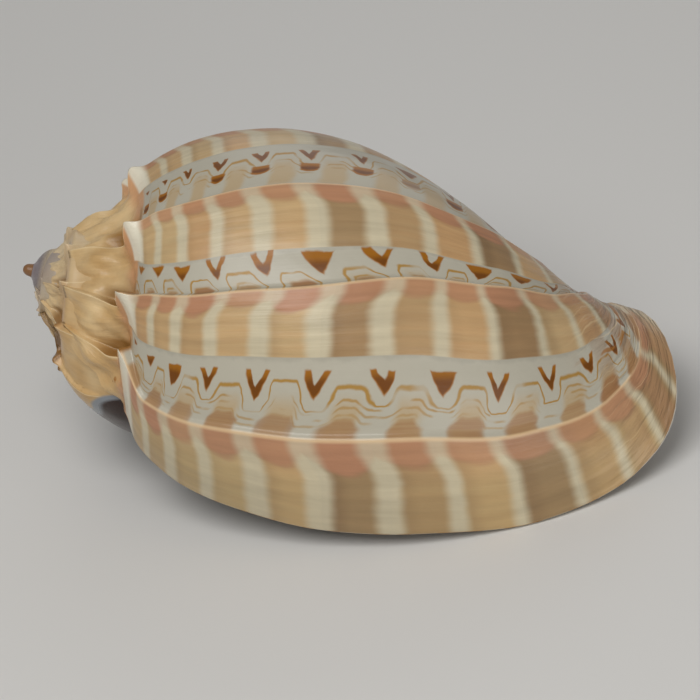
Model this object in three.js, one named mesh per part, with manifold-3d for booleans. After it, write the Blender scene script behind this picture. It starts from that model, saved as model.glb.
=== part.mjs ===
// Harp shell, one hollow solid, in millimetres.
// The shell is a tube that grows round a coiling axis. A growth stage is counted in turns:
// 0 at the outer lip, negative for older shell. The growing edge is one outline, from the suture over
// the shoulder and the belly to the siphonal notch, which scales and turns as the stage changes.
import * as THREE from "three";
import { mergeVertices } from "three/addons/utils/BufferGeometryUtils.js";
import Module from "manifold-3d";

const wasm = await Module();
wasm.setup();
const { lerp, smoothstep, degToRad } = THREE.MathUtils;

// Growth per turn: natural logarithm of the scale, linear and quadratic term.
const GIRTH_GROWTH = [0.516, -0.136];
const LENGTH_GROWTH = [0.942, -0.116];
const AXIS_DRIFT = 6.5;
const LIP_ANGLE = degToRad(61.2);
const FILLED_FROM = -1;
const OLDEST_STAGE = -2.95;

// Outline of the growing edge at the lip: distance along the axis from the apex, distance from the axis.
const OUTLINE = [
  [5.8, 7.6],
  [8.9, 10.4],
  [11.6, 12.2],
  [13.9, 14.6],
  [15.0, 17.3],
  [16.6, 19.9],
  [19.4, 22.3],
  [24.0, 25.0],
  [31.2, 27.6],
  [41.6, 29.6],
  [55.2, 29.5],
  [70.2, 25.8],
  [84.2, 19.3],
  [97.3, 15.0],
  [114.9, 14.6],
];
const LAST_ROW = OUTLINE.length - 1;
const SHOULDER_ROW = 4;
// How far the growing edge lags behind its own stage, in turns: the front end is swept back.
const EDGE_LAG = [0, 0, 0, 0, 0, 0.006, 0.005, 0, -0.011, -0.023, -0.039, -0.053, -0.095, -0.213, -0.519];
// Towards the lip the ramp, from the suture to the shoulder, is fuller by so much at the lip itself.
const RAMP_FILL = [3, 3.6, 2.9, 1.3, 0, 0, 0, 0, 0, 0, 0, 0, 0, 0, 0];
const RAMP_FILL_STAGES = [-0.42, 0.02];
// Beside the suture ribs run ahead of the shoulder, in turns, but the lip itself stays behind.
const RAMP_SWEEP = 0.025;
const LIP_SWEEP = -0.075;
const LIP_SWEEP_STAGES = [-0.13, 0];
const SWEEP_ROWS = [0.5, 3.5];

// Ribs, newest first: stage of the sharp older edge, width, lead of the spine, bend at the front, in turns.
const NEWEST_RIBS = [
  [-0.073, 0.073, -0.029, 0],
  [-0.177, 0.048, 0.01, -0.012],
  [-0.266, 0.057, 0.015, 0.015],
  [-0.385, 0.05, 0.009, 0],
];
const RIB_SPACING = 0.097;
const RIB_WIDTH = 0.047;
const RIB_LEAD = 0.008;
const RIB_RISE = 1.15;
const RIB_TAIL = 0.35;
const RIB_STEP = 0.0035;
const RIB_MIDDLE = 0.5;
const RIB_MIDDLE_RISE = 0.58;
const LIP_TAIL = 0.012;
const LIP_EDGE = 0.12;
const GROOVE_DEPTH = 0.4;
// Ribs are lower beside the suture and at the front; a lead or a bend holds over these rows.
const SUTURE_STRENGTH = 0.55;
const FRONT_STRENGTH = 0.5;
const FRONT_ROWS = [10.5, 12.5];
const LEAD_ROWS = [0.5, 3.5, 4, 7];
const BEND_ROWS = [8.5, 11.5];
const BEND_FADE_ROWS = [12, 13];
const SPINE_FOOT = 0.22;
const SPINE_LENGTH = 1.75;
const SPINE_ROWS = 0.85;
const SPINE_LEAN = [-0.72, 0.69];
// On the ramp the shell dips behind each rib.
const HOLLOW_DEPTH = 0.6;
const HOLLOW_ROWS = [0.6, 2, 3.4, 4];
const GAP_HOLLOW = 0.35;

// The callus of the inner lip hides the ribs of the belly before these stages.
const CALLUS_STAGES = [-0.68, -0.62];

// Past the left side of the canal the old notch band thins and the hollow closes on the axis.
const NECK_STAGES = [-0.87, -0.52];
const NECK_ROWS = [10.6, 13.1];
const NECK_SLIMMING = 0.42;
const CLOSING_STAGES = [-0.62, -0.44];
const CLOSING_ROWS = [10, 11.8];

// Under the ramp of the next turn the older whorls are slimmer below their shoulder.
const WAIST_STAGES = [-1.9, -0.7];
const WAIST_START = [-1.04, -0.96];
const WAIST_ROWS = [4, 5.3, 7.6, 9.6];
const WAIST_SLIMMING = 0.3;

// The wall is thicker where it joins the older whorl.
const WALL = 1.35;
const SUTURE_WALL = 1.1;
const SUTURE_WALL_ROWS = [0.8, 2.6];
const CORE_RADIUS = 0.4;
const WALL_STEP = 0.045;
const FIRST_INNER_ROW = 0.8;
const FREE_EDGE_ROWS = [11.8, 13];

// Pillar round the axis: distance along the axis, radius, shift towards the left side of the canal.
const PILLAR = [
  [-0.2, 0.6, 0],
  [3, 1.1, 0],
  [12, 2, 0],
  [24, 3.4, 0],
  [36, 4.8, 0.3],
  [46, 5.6, 1.4],
  [53, 5.9, 2.6],
  [60, 5.5, 4.3],
  [66, 4.3, 5.9],
  [71, 2.6, 7.1],
  [73.8, 0.9, 7.7],
];
const PILLAR_SIDES = 14;
const PILLAR_ANGLE = degToRad(220);

// Smooth first whorl, a blunt teat: distance along the axis, radius.
const TEAT = [
  [-1.45, 0.05],
  [-1.3, 0.42],
  [-0.85, 0.85],
  [-0.1, 1.2],
  [0.7, 1.5],
];
const TEAT_SIDES = 10;

// Rows that carry points: on the hollow stretch, on the filled body and on the spire.
const YOUNG_ROWS = [
  0, 1, 2, 3, 3.6, 4, 4.4, 5, 5.7, 6.5, 7.3, 8.1, 8.9, 9.6, 10.3, 11, 11.6, 12.1, 12.6, 13.1, 13.6, 14,
];
const OLD_ROWS = [0, 1.5, 3, 3.6, 4, 4.4, 5, 6.5, 8, 9.5, 11, 12];
const SPIRE_ROWS = [0, 1.5, 3, 3.6, 4, 4.4, 5, 6.5];

// Older shell is filled to the axis: newest stage, oldest stage and rows of each half turn.
const FILLED_STRETCHES = [
  [FILLED_FROM, FILLED_FROM - 0.5, OLD_ROWS],
  [FILLED_FROM - 0.5, FILLED_FROM - 1, OLD_ROWS],
  [FILLED_FROM - 1, FILLED_FROM - 1.5, SPIRE_ROWS],
  [FILLED_FROM - 1.5, FILLED_FROM - 2, SPIRE_ROWS],
];

// At rest the shell lies mouth down on its lip, body whorl and pillar: the way up, seen from the coil.
const REST_UP = [-0.3271, 0.7809, 0.5313];

const outline = new THREE.SplineCurve(OUTLINE.map(([along, radius]) => new THREE.Vector2(along, radius)));
const lagCurve = new THREE.SplineCurve(EDGE_LAG.map((lag, row) => new THREE.Vector2(row, lag)));
const fillCurve = new THREE.SplineCurve(RAMP_FILL.map((fill, row) => new THREE.Vector2(row, fill)));

function growth(stage, [linear, quadratic]) {
  return Math.exp(linear * stage + quadratic * stage * stage);
}

// Rises from 0 to 1 over the first two bounds and falls back to 0 over the last two.
function hump(value, [from, full, until, gone]) {
  return smoothstep(value, from, full) * (1 - smoothstep(value, until, gone));
}

// Point of the outline, its outward direction and the lag of the edge, for a row, which need not be whole,
// and a stage.
function outlineAt(row, stage) {
  const u = Math.min(row / LAST_ROW, 1);
  const point = outline.getPoint(u);
  const tangent = outline.getTangent(u);
  point.y += fillCurve.getPoint(u).y * smoothstep(stage, ...RAMP_FILL_STAGES);
  const sweep = RAMP_SWEEP + LIP_SWEEP * smoothstep(stage, ...LIP_SWEEP_STAGES);
  const lag = lagCurve.getPoint(u).y + sweep * (1 - smoothstep(row, ...SWEEP_ROWS));
  return { point, normal: new THREE.Vector2(-tangent.y, tangent.x), lag };
}

// The coiling axis is X; angle 0 is +Z and a quarter turn on is -Y.
function place(along, radius, stage) {
  const girth = growth(stage, GIRTH_GROWTH);
  const angle = LIP_ANGLE + 2 * Math.PI * stage;
  const drift = AXIS_DRIFT * girth * (1 - girth) ** 2;
  const y = -radius * girth * Math.sin(angle) - drift;
  return new THREE.Vector3(along * growth(stage, LENGTH_GROWTH), y, radius * girth * Math.cos(angle));
}

// One on the bare ribbed shell, zero under the callus and where the next turn lies on top; the spire side
// keeps its ribs all round.
function bareness(stage, row) {
  return 1 - (1 - smoothstep(stage, ...CALLUS_STAGES)) * smoothstep(row, SHOULDER_ROW, SHOULDER_ROW + 1);
}

function outerPoint(column, row) {
  const { point, normal, lag } = outlineAt(row, column.stage);
  const lead = column.lead * hump(row, LEAD_ROWS);
  const bend = column.bend * smoothstep(row, ...BEND_ROWS) * (1 - smoothstep(row, ...BEND_FADE_ROWS));
  const stage = column.stage + lag + lead + bend;
  const strength =
    lerp(SUTURE_STRENGTH, 1, smoothstep(row, 0, SHOULDER_ROW)) *
    lerp(1, FRONT_STRENGTH, smoothstep(row, ...FRONT_ROWS));
  const hollow = column.hollow * HOLLOW_DEPTH * hump(row, HOLLOW_ROWS);
  const rise = column.rise * RIB_RISE * strength * bareness(stage, row) - GROOVE_DEPTH - hollow;
  const spine = column.spine * SPINE_LENGTH * Math.exp(-(((row - SHOULDER_ROW) / SPINE_ROWS) ** 2));
  const along = point.x + normal.x * rise + SPINE_LEAN[0] * spine;
  const radius = point.y + normal.y * rise + SPINE_LEAN[1] * spine;
  const neck = NECK_SLIMMING * smoothstep(row, ...NECK_ROWS) * (1 - smoothstep(stage, ...NECK_STAGES));
  const covered = (1 - smoothstep(stage, ...WAIST_STAGES)) * (1 - smoothstep(stage, ...WAIST_START));
  const waist = WAIST_SLIMMING * hump(row, WAIST_ROWS) * covered;
  return place(along, radius * (1 - neck) * (1 - waist), stage);
}

// Inner face of the wall. Neighbouring columns share its points, so it has fewer facets than the outside;
// along the free front edge each column keeps its own.
function innerPoint(column, row) {
  const { point, normal, lag } = outlineAt(Math.max(row, FIRST_INNER_ROW), column.stage);
  const stage = lerp(sharedStage(column), column.stage, smoothstep(row, ...FREE_EDGE_ROWS)) + lag;
  const wall = WALL + GROOVE_DEPTH + SUTURE_WALL * (1 - smoothstep(row, ...SUTURE_WALL_ROWS));
  const core = CORE_RADIUS / growth(stage, GIRTH_GROWTH);
  const closed = smoothstep(row, ...CLOSING_ROWS) * (1 - smoothstep(stage, ...CLOSING_STAGES));
  return place(point.x - normal.x * wall, lerp(point.y - normal.y * wall, core, closed), stage);
}

function sharedStage(column) {
  return Math.round(column.stage / WALL_STEP) * WALL_STEP;
}

// Point close to the axis, where the filled whorls end.
function corePoint(column, row) {
  const { point, lag } = outlineAt(row, column.stage);
  const stage = sharedStage(column) + lag;
  return place(point.x, CORE_RADIUS / growth(stage, GIRTH_GROWTH), stage);
}

// Columns of one rib, from its newer edge back to its sharp older edge, where the spine stands.
function ribColumns([crest, width, lead, bend], isLip) {
  const column = (stage, rise, spine, slant, hollow = 0) => {
    return { stage, rise, spine, lead: lead * slant, bend, hollow };
  };
  return [
    column(crest + width, isLip ? LIP_EDGE : 0, 0, 0),
    column(crest + width - (isLip ? LIP_TAIL : RIB_STEP), RIB_TAIL, 0, 0),
    column(crest + RIB_MIDDLE * width, RIB_MIDDLE_RISE, SPINE_FOOT, RIB_MIDDLE),
    column(crest, 1, 1, 1),
    column(crest - RIB_STEP, 0, 0, 1, 1),
  ];
}

// Columns of the whole sweep, from the lip back to the teat, with one column between ribs.
function sweepColumns() {
  const plain = (stage) => ({ stage, rise: 0, spine: 0, lead: 0, bend: 0, hollow: GAP_HOLLOW });
  const ribs = NEWEST_RIBS.slice();
  let crest = NEWEST_RIBS[NEWEST_RIBS.length - 1][0] - RIB_SPACING;
  for (; crest > OLDEST_STAGE + RIB_SPACING; crest -= RIB_SPACING) ribs.push([crest, RIB_WIDTH, RIB_LEAD, 0]);
  const columns = [];
  for (const rib of ribs) {
    const next = ribColumns(rib, columns.length === 0);
    if (columns.length > 0) columns.push(plain(0.5 * (columns[columns.length - 1].stage + next[0].stage)));
    columns.push(...next);
  }
  columns.push(plain(OLDEST_STAGE));
  return columns;
}

// Solid from points and triangles; triangles that have closed up to a line are left out.
function solidFrom(points, indices) {
  const loose = new THREE.BufferGeometry().setFromPoints(points);
  loose.setIndex(indices);
  const merged = mergeVertices(loose, 1e-4);
  const kept = [];
  for (let corner = 0; corner < indices.length; corner += 3) {
    const [a, b, c] = merged.index.array.slice(corner, corner + 3);
    if (a !== b && b !== c && c !== a) kept.push(a, b, c);
  }
  const vertProperties = new Float32Array(merged.attributes.position.array);
  return new wasm.Manifold(new wasm.Mesh({ numProp: 3, vertProperties, triVerts: new Uint32Array(kept) }));
}

function midColumn(first, second) {
  const half = (key) => 0.5 * (first[key] + second[key]);
  return Object.fromEntries(Object.keys(first).map((key) => [key, half(key)]));
}

// Closed body swept over columns: a band of outer points and a band of inner points, capped at both ends.
function sweep(columns, rows, outer, inner) {
  const points = [];
  for (const column of columns) {
    for (const row of rows) points.push(outer(column, row));
    for (const row of rows) points.push(inner(column, row));
  }
  const count = rows.length;
  const ring = 2 * count;
  const around = (step) => (step < count ? step : ring - 1 - (step - count));
  const indices = [];
  // Each four-cornered patch is split along the diagonal that passes closer to the true surface.
  const quad = (a, b, c, d, middle) => {
    const off = (from, to) => points[from].clone().lerp(points[to], 0.5).distanceTo(middle);
    if (off(a, c) < off(b, d)) indices.push(a, c, b, a, d, c);
    else indices.push(a, d, b, b, d, c);
  };
  for (let index = 0; index + 1 < columns.length; index++) {
    const between = midColumn(columns[index], columns[index + 1]);
    for (let step = 0; step < ring; step++) {
      const from = around(step);
      const to = around((step + 1) % ring);
      const face = Math.max(from, to) < count ? outer : inner;
      const middle = face(between, 0.5 * (rows[from % count] + rows[to % count]));
      const base = index * ring;
      quad(base + from, base + from + ring, base + to + ring, base + to, middle);
    }
  }
  const end = points.length - ring;
  for (let row = 0; row + 1 < count; row++) {
    quad(row, row + 1, count + row + 1, count + row, points[row]);
    quad(end + row, end + count + row, end + count + row + 1, end + row + 1, points[end + row]);
  }
  return solidFrom(points, indices);
}

// A round bar along the axis whose rings may shift sideways, with both ends closed.
function bar(stations, sides, shiftAngle) {
  const points = [];
  for (const [along, radius, shift = 0] of stations) {
    for (let side = 0; side < sides; side++) {
      const turn = (2 * Math.PI * side) / sides;
      const y = radius * Math.cos(turn) - shift * Math.sin(shiftAngle);
      const z = radius * Math.sin(turn) + shift * Math.cos(shiftAngle);
      points.push(new THREE.Vector3(along, y, z));
    }
  }
  const indices = [];
  for (let base = 0; base + sides < points.length; base += sides) {
    for (let side = 0; side < sides; side++) {
      const a = base + side;
      const b = base + ((side + 1) % sides);
      indices.push(a, b, b + sides, a, b + sides, a + sides);
    }
  }
  const end = points.length - sides;
  for (let side = 1; side + 1 < sides; side++) {
    indices.push(0, side + 1, side, end, end + side, end + side + 1);
  }
  return solidFrom(points, indices);
}

// Columns from one stage back to another; both ends fall on a column.
function stretch(columns, newest, oldest) {
  const from = columns.findIndex((column) => column.stage <= newest);
  const to = columns.findIndex((column) => column.stage <= oldest);
  return columns.slice(from, to < 0 ? columns.length : to + 1);
}

const columns = sweepColumns();
let shell = sweep(stretch(columns, 0, FILLED_FROM), YOUNG_ROWS, outerPoint, innerPoint);
for (const [newest, oldest, rows] of FILLED_STRETCHES) {
  shell = shell.add(sweep(stretch(columns, newest, oldest), rows, outerPoint, corePoint));
}
shell = shell.add(bar(TEAT, TEAT_SIDES, 0));
shell = shell.add(bar(PILLAR, PILLAR_SIDES, PILLAR_ANGLE));

const mesh = shell.getMesh();
const geometry = new THREE.BufferGeometry();
geometry.setAttribute("position", new THREE.BufferAttribute(mesh.vertProperties, mesh.numProp));
geometry.setIndex(new THREE.BufferAttribute(mesh.triVerts, 1));

// Turn to the resting position, front end towards +X, and put the origin at the bottom centre.
const up = new THREE.Vector3(...REST_UP).normalize();
const forward = new THREE.Vector3(1, 0, 0).projectOnPlane(up).normalize();
const side = new THREE.Vector3().crossVectors(up, forward);
geometry.applyMatrix4(new THREE.Matrix4().makeBasis(forward, side, up).transpose());
geometry.computeBoundingBox();
const { min, max } = geometry.boundingBox;
geometry.translate(-0.5 * (min.x + max.x), -0.5 * (min.y + max.y), -min.z);
geometry.computeVertexNormals();

const material = new THREE.MeshStandardMaterial({ color: 0xb59d7e, roughness: 0.35, metalness: 0 });
const body = new THREE.Mesh(geometry, material);
body.name = "shell";
const group = new THREE.Group();
group.add(body);
export default group;
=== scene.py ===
"""Harp shell lying mouth down on a pale floor: its fine surface, its colours and a soft studio.

The surface follows the growth of the real shell. A growing edge, drawn once from the suture over the
shoulder and the belly to the canal, turns round the coiling axis and scales as it goes. A growth stage
is counted in turns, 0 at the outer lip and negative for older shell. A row is a place along the growing
edge, 0 at the suture, 4 at the shoulder and 14 at the canal. Lengths are in millimetres until a mesh is
made, and in metres from there on.
"""

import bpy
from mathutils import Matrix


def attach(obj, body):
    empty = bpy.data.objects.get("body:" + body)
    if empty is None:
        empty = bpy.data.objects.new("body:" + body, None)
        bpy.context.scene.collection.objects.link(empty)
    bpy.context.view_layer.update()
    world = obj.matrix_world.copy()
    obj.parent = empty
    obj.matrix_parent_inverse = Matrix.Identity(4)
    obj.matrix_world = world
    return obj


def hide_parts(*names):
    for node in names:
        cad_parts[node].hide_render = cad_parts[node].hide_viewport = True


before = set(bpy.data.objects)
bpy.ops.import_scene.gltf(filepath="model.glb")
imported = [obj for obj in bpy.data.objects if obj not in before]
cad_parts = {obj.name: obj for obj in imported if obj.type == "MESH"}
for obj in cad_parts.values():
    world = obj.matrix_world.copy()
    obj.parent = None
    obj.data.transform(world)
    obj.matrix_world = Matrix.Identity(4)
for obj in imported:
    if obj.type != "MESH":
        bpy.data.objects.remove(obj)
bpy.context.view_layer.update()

import logging
import math
from dataclasses import dataclass, field, fields
from enum import Enum

import bpy
import numpy as np
from mathutils import Matrix, Vector

log = logging.getLogger("harp_shell")

MM = 0.001
BODY = "root"
NODE = "shell"
STAGE_SLACK = 1e-9
SHORTEST = 1e-9

Colour = tuple[float, float, float]
Bounds = tuple[float, ...]
Socket = bpy.types.NodeSocket


def smooth(value: np.ndarray, low: float, high: float) -> np.ndarray:
    """Soft step from 0 at low to 1 at high.

    Args:
        value: Numbers to test.
        low: Where the step starts.
        high: Where the step ends.

    Returns:
        Numbers from 0 to 1.
    """
    share = np.clip((value - low) / (high - low), 0.0, 1.0)
    return share * share * (3.0 - 2.0 * share)


def hump(value: np.ndarray, bounds: Bounds) -> np.ndarray:
    """Rises from 0 to 1 over the first two bounds and falls back over the last two."""
    return smooth(value, *bounds[:2]) * (1 - smooth(value, *bounds[2:]))


def paint(code: str) -> Colour:
    """Linear colour of a screen colour.

    Args:
        code: Six hexadecimal digits.

    Returns:
        Red, green and blue as light, 0 to 1.
    """
    screen = [int(code[at : at + 2], 16) / 255 for at in (0, 2, 4)]
    return tuple(s / 12.92 if s <= 0.04045 else ((s + 0.055) / 1.055) ** 2.4 for s in screen)


# Growth of the shell


@dataclass(frozen=True)
class Spline:
    """Smooth curve through knots that are one step apart."""

    knots: tuple

    def at(self, step: np.ndarray) -> np.ndarray:
        """Point of the curve.

        Args:
            step: Places along the curve, counted in knots.

        Returns:
            One value or one row of values for each place.
        """
        knots = np.asarray(self.knots, float)
        last = len(knots) - 1
        start = np.clip(np.floor(step).astype(int), 0, last - 1)
        share = (step - start).reshape(step.shape + (1,) * (knots.ndim - 1))
        before = knots[np.maximum(start - 1, 0)]
        here, there = knots[start], knots[start + 1]
        after = knots[np.minimum(start + 2, last)]
        leave, arrive = (there - before) / 2, (after - here) / 2
        cubic = 2 * here - 2 * there + leave + arrive
        square = 3 * there - 3 * here - 2 * leave - arrive
        return ((cubic * share + square) * share + leave) * share + here


@dataclass(frozen=True)
class Rest:
    """How the coil lies on the floor, mouth down."""

    up: tuple = (-0.3271, 0.7809, 0.5313)
    coil_origin: tuple = (-38.199, 3.981, 25.062)
    sole_lift: float = 0.31
    sole_height: float = 3.0

    def turn(self) -> Matrix:
        """Rotation from the coil's frame, axis along X, to the resting frame.

        Returns:
            The rotation, with the directions ahead, left and up as its rows.
        """
        up = Vector(self.up).normalized()
        ahead = Vector((1, 0, 0))
        ahead = (ahead - up * ahead.dot(up)).normalized()
        return Matrix((ahead, up.cross(ahead), up))

    def lay(self, points: np.ndarray) -> np.ndarray:
        """Lays points on the floor and eases the relief of the lowest few millimetres up onto it.

        Args:
            points: Points of the coil's frame, in millimetres.

        Returns:
            The points in the resting frame, in metres.
        """
        placed = points @ np.array(self.turn()).T + np.array(self.coil_origin)
        placed[..., 2] += self.sole_lift * (1 - smooth(placed[..., 2], 0.0, self.sole_height))
        return placed * MM


@dataclass(frozen=True)
class Growth:
    """How the growing edge scales and turns with the stage."""

    girth: tuple = (0.516, -0.136)
    length: tuple = (0.942, -0.116)
    axis_drift: float = 6.5
    lip_angle: float = math.radians(61.2)

    @staticmethod
    def scale(stage: np.ndarray, law: tuple) -> np.ndarray:
        """Size at a stage against the size at the lip."""
        return np.exp(law[0] * stage + law[1] * stage**2)

    def place(self, along: np.ndarray, radius: np.ndarray, stage: np.ndarray) -> np.ndarray:
        """Point of the shell in the coil's frame.

        Args:
            along: Distance from the apex along the axis, at the lip's size.
            radius: Distance from the axis, at the lip's size.
            stage: Growth stage in turns.

        Returns:
            Points, with the three coordinates last.
        """
        girth = self.scale(stage, self.girth)
        angle = self.lip_angle + 2 * np.pi * stage
        drift = self.axis_drift * girth * (1 - girth) ** 2
        x = along * self.scale(stage, self.length)
        return np.stack([x, -radius * girth * np.sin(angle) - drift, radius * girth * np.cos(angle)], -1)


@dataclass(frozen=True)
class Rib:
    """An old lip: a band with a sharp, raised older edge that ends in a spine on the shoulder.

    Crest and width are in turns, and so are lead and bend: how far the rib runs ahead on the shoulder
    and in front of the belly. The slant is how far its stripes lean, counted in stripes.
    """

    crest: float
    width: float = 0.047
    lead: float = 0.008
    bend: float = 0.0
    slant: float = -0.24
    height: float = 1.0


@dataclass(frozen=True)
class Columns:
    """Where the surface is sampled along the coil, from the lip back, and what the ribs do there.

    Stage is in turns. Beat counts down by two for each rib: above the rib's own number it runs from 0
    to 1 over the rib's face and from 1 to 2 over the gap on its newer side. Room is the width of the
    gap and since the distance from the older rib, both in gap units. Pull is how closely a column
    follows its rib, and lead and bend are the rib's own times that. Rise, spine and hollow are shares
    of the rib's height, of its spine and of the ramp's hollow, and slant is how far the stripes lean.
    """

    stage: np.ndarray
    beat: np.ndarray
    room: np.ndarray
    pull: np.ndarray
    lead: np.ndarray
    bend: np.ndarray
    rise: np.ndarray
    spine: np.ndarray
    hollow: np.ndarray
    since: np.ndarray
    slant: np.ndarray

    @staticmethod
    def beside(rib: Rib, away: np.ndarray, **numbers: "np.ndarray | float") -> "Columns":
        """Neighbouring columns that follow one rib.

        Args:
            rib: The rib.
            away: How little each column follows the rib, 0 to 1.
            **numbers: Other fields; those not given are zero.

        Returns:
            The columns.
        """
        pull = 1 - away
        known = {"pull": pull, "lead": rib.lead * pull, "bend": rib.bend * pull, **numbers}
        return Columns(*(known.get(item.name, 0.0) + np.zeros(len(away)) for item in fields(Columns)))

    @staticmethod
    def joined(blocks: list["Columns"]) -> "Columns":
        """All columns of some blocks, one after another."""
        return Columns(*(np.concatenate([getattr(b, f.name) for b in blocks]) for f in fields(Columns)))

    def part(self, newest: float, oldest: float) -> "Columns":
        """The columns between two stages, both included."""
        keep = (self.stage <= newest + STAGE_SLACK) & (self.stage >= oldest - STAGE_SLACK)
        return Columns(*(getattr(self, item.name)[keep] for item in fields(self)))


@dataclass(frozen=True)
class RibSeries:
    """All ribs, newest first, and their cross-section."""

    newest: tuple = (
        Rib(-0.073, 0.073, -0.029, height=0.55),
        Rib(-0.177, 0.048, 0.01, -0.012, 0.26),
        Rib(-0.266, 0.057, 0.015, 0.015),
        Rib(-0.385, 0.05, 0.009),
    )
    spacing: float = 0.1
    oldest_stage: float = -2.95
    gap_unit: float = 0.0525
    face_start: float = 0.03
    face_columns: int = 11
    face_fall: float = 1.15
    foot_height: float = 0.14
    foot_dip: float = 0.5
    foot_bounds: Bounds = (0.9, 1.0)
    spine_fall: float = 2.2
    upright: Bounds = (0.05, 0.42)
    edge_width: float = 0.0035
    edge_shares: tuple = (0.0, 0.25, 0.5, 0.75, 1.0)
    edge_heights: tuple = (0.97, 0.86, 0.55, 0.2, 0.0)
    edge_beat: float = 0.001
    gap_columns: int = 10
    hollow_fall: float = 1.6
    since_fall: float = 1.3
    slant_fall: float = 3.0

    def ribs(self) -> list[Rib]:
        """Every rib from the lip back to the first whorl.

        Returns:
            The ribs, newest first.
        """
        found = list(self.newest)
        while found[-1].crest > self.oldest_stage + 2 * self.spacing:
            found.append(Rib(found[-1].crest - self.spacing))
        return found

    def columns(self) -> Columns:
        """Samples of the whole coil, from the lip back.

        Returns:
            The columns.
        """
        blocks: list[Columns] = []
        ribs = self.ribs()
        room = 0.0
        for index, (rib, older) in enumerate(zip(ribs, [*ribs[1:], None])):
            beat = -2.0 * index
            start = rib.crest - self.edge_width
            end = older.crest + older.width if older else start
            blocks.append(self._face(rib, beat, room))
            room = (start - end) / self.gap_unit
            blocks.append(self._edge(rib, beat, room))
            if older:
                blocks.append(self._gap(rib, beat, room, end))
        last = {"stage": self.oldest_stage, "beat": -2.0 * len(ribs), "room": 1.0}
        return Columns.joined([*blocks, Columns.beside(ribs[-1], np.ones(1), **last)])

    def _face(self, rib: Rib, beat: float, room: float) -> Columns:
        """The sloping face of a rib, from its foot to its crest.

        Args:
            rib: The rib.
            beat: The rib's beat, 0 for the newest one.
            room: Width of the gap on the newer side, in gap units.

        Returns:
            The columns.
        """
        share = np.linspace(1, self.face_start, self.face_columns)
        rise = self.foot_height + (rib.height - self.foot_height) * (1 - share) ** self.face_fall
        if beat:
            rise = rise - self.foot_dip * rise * smooth(share, *self.foot_bounds)
        return Columns.beside(
            rib,
            share,
            stage=rib.crest + share * rib.width,
            beat=beat + share,
            room=room,
            rise=rise,
            spine=rib.height * (1 - share) ** self.spine_fall,
            slant=rib.slant * (1 - smooth(share, *self.upright)),
        )

    def _edge(self, rib: Rib, beat: float, room: float) -> Columns:
        """The steep older edge of a rib, from its crest down.

        Args:
            rib: The rib.
            beat: The rib's beat.
            room: Width of the gap on the older side, in gap units.

        Returns:
            The columns.
        """
        share = np.array(self.edge_shares)
        return Columns.beside(
            rib,
            np.zeros(len(share)),
            stage=rib.crest - share * self.edge_width,
            beat=beat - self.edge_beat * share,
            room=room,
            rise=np.array(self.edge_heights) * rib.height,
            spine=(1 - share) * rib.height,
            hollow=share,
            since=room,
            slant=rib.slant,
        )

    def _gap(self, rib: Rib, beat: float, room: float, end: float) -> Columns:
        """The gap from a rib's older edge to the foot of the next older rib.

        Args:
            rib: The rib on the newer side.
            beat: That rib's beat.
            room: Width of the gap, in gap units.
            end: Stage at which the gap ends.

        Returns:
            The columns.
        """
        start = rib.crest - self.edge_width
        share = np.linspace(0, 1, self.gap_columns + 2)[1:-1]
        kept = 1 - share
        return Columns.beside(
            rib,
            share,
            stage=start + share * (end - start),
            beat=beat - share,
            room=room,
            hollow=kept**self.hollow_fall,
            since=room * kept**self.since_fall,
            slant=rib.slant * kept**self.slant_fall,
        )


@dataclass(frozen=True)
class GrowingEdge:
    """The line along which the shell grows, with one knot a row, at the lip's size.

    An outline knot holds the distance along the axis and the distance from it. The lag is how far a row
    runs ahead, in turns.
    """

    outline: Spline = Spline(
        (
            (5.8, 7.6),
            (8.9, 10.4),
            (11.6, 12.2),
            (13.9, 14.6),
            (15.0, 17.3),
            (16.6, 19.9),
            (19.4, 22.3),
            (24.0, 25.0),
            (31.2, 27.6),
            (41.6, 29.6),
            (55.2, 29.5),
            (70.2, 25.8),
            (84.2, 19.3),
            (97.3, 15.0),
            (114.9, 14.6),
        )
    )
    lag: Spline = Spline(
        (0, 0, 0, 0, 0, 0.006, 0.005, 0, -0.011, -0.023, -0.039, -0.053, -0.095, -0.213, -0.519)
    )
    ramp_fill: Spline = Spline((3.0, 3.6, 2.9, 1.3, 0, 0, 0, 0, 0, 0, 0, 0, 0, 0, 0))
    fill_stages: Bounds = (-0.42, 0.02)
    sweep: float = 0.025
    lip_sweep: float = 0.075
    lip_stages: Bounds = (-0.13, 0.0)
    sweep_rows: Bounds = (0.5, 3.5)
    skirt: float = 4.0
    last_row: float = 14.0
    reach: float = 0.001

    def at(self, row: np.ndarray, stage: np.ndarray) -> tuple[np.ndarray, np.ndarray, np.ndarray]:
        """The growing edge at each row.

        Args:
            row: Rows; those below zero are a skirt that dips under the suture.
            stage: Growth stages, one for each column.

        Returns:
            Points, outward directions and lags.
        """
        skirt = np.maximum(-row, 0.0) * self.skirt
        row = np.maximum(row, 0.0)
        ahead, behind = np.minimum(row + self.reach, self.last_row), np.maximum(row - self.reach, 0.0)
        tangent = self.outline.at(ahead) - self.outline.at(behind)
        tangent /= np.linalg.norm(tangent, axis=-1, keepdims=True)
        outward = np.stack([-tangent[..., 1], tangent[..., 0]], -1)
        point = self.outline.at(row) + 0 * stage[..., None]
        point[..., 0] += skirt
        point[..., 1] += self.ramp_fill.at(row) * smooth(stage, *self.fill_stages)
        sweep = self.sweep - self.lip_sweep * smooth(stage, *self.lip_stages)
        return point, outward, self.lag.at(row) + sweep * (1 - smooth(row, *self.sweep_rows))


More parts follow.
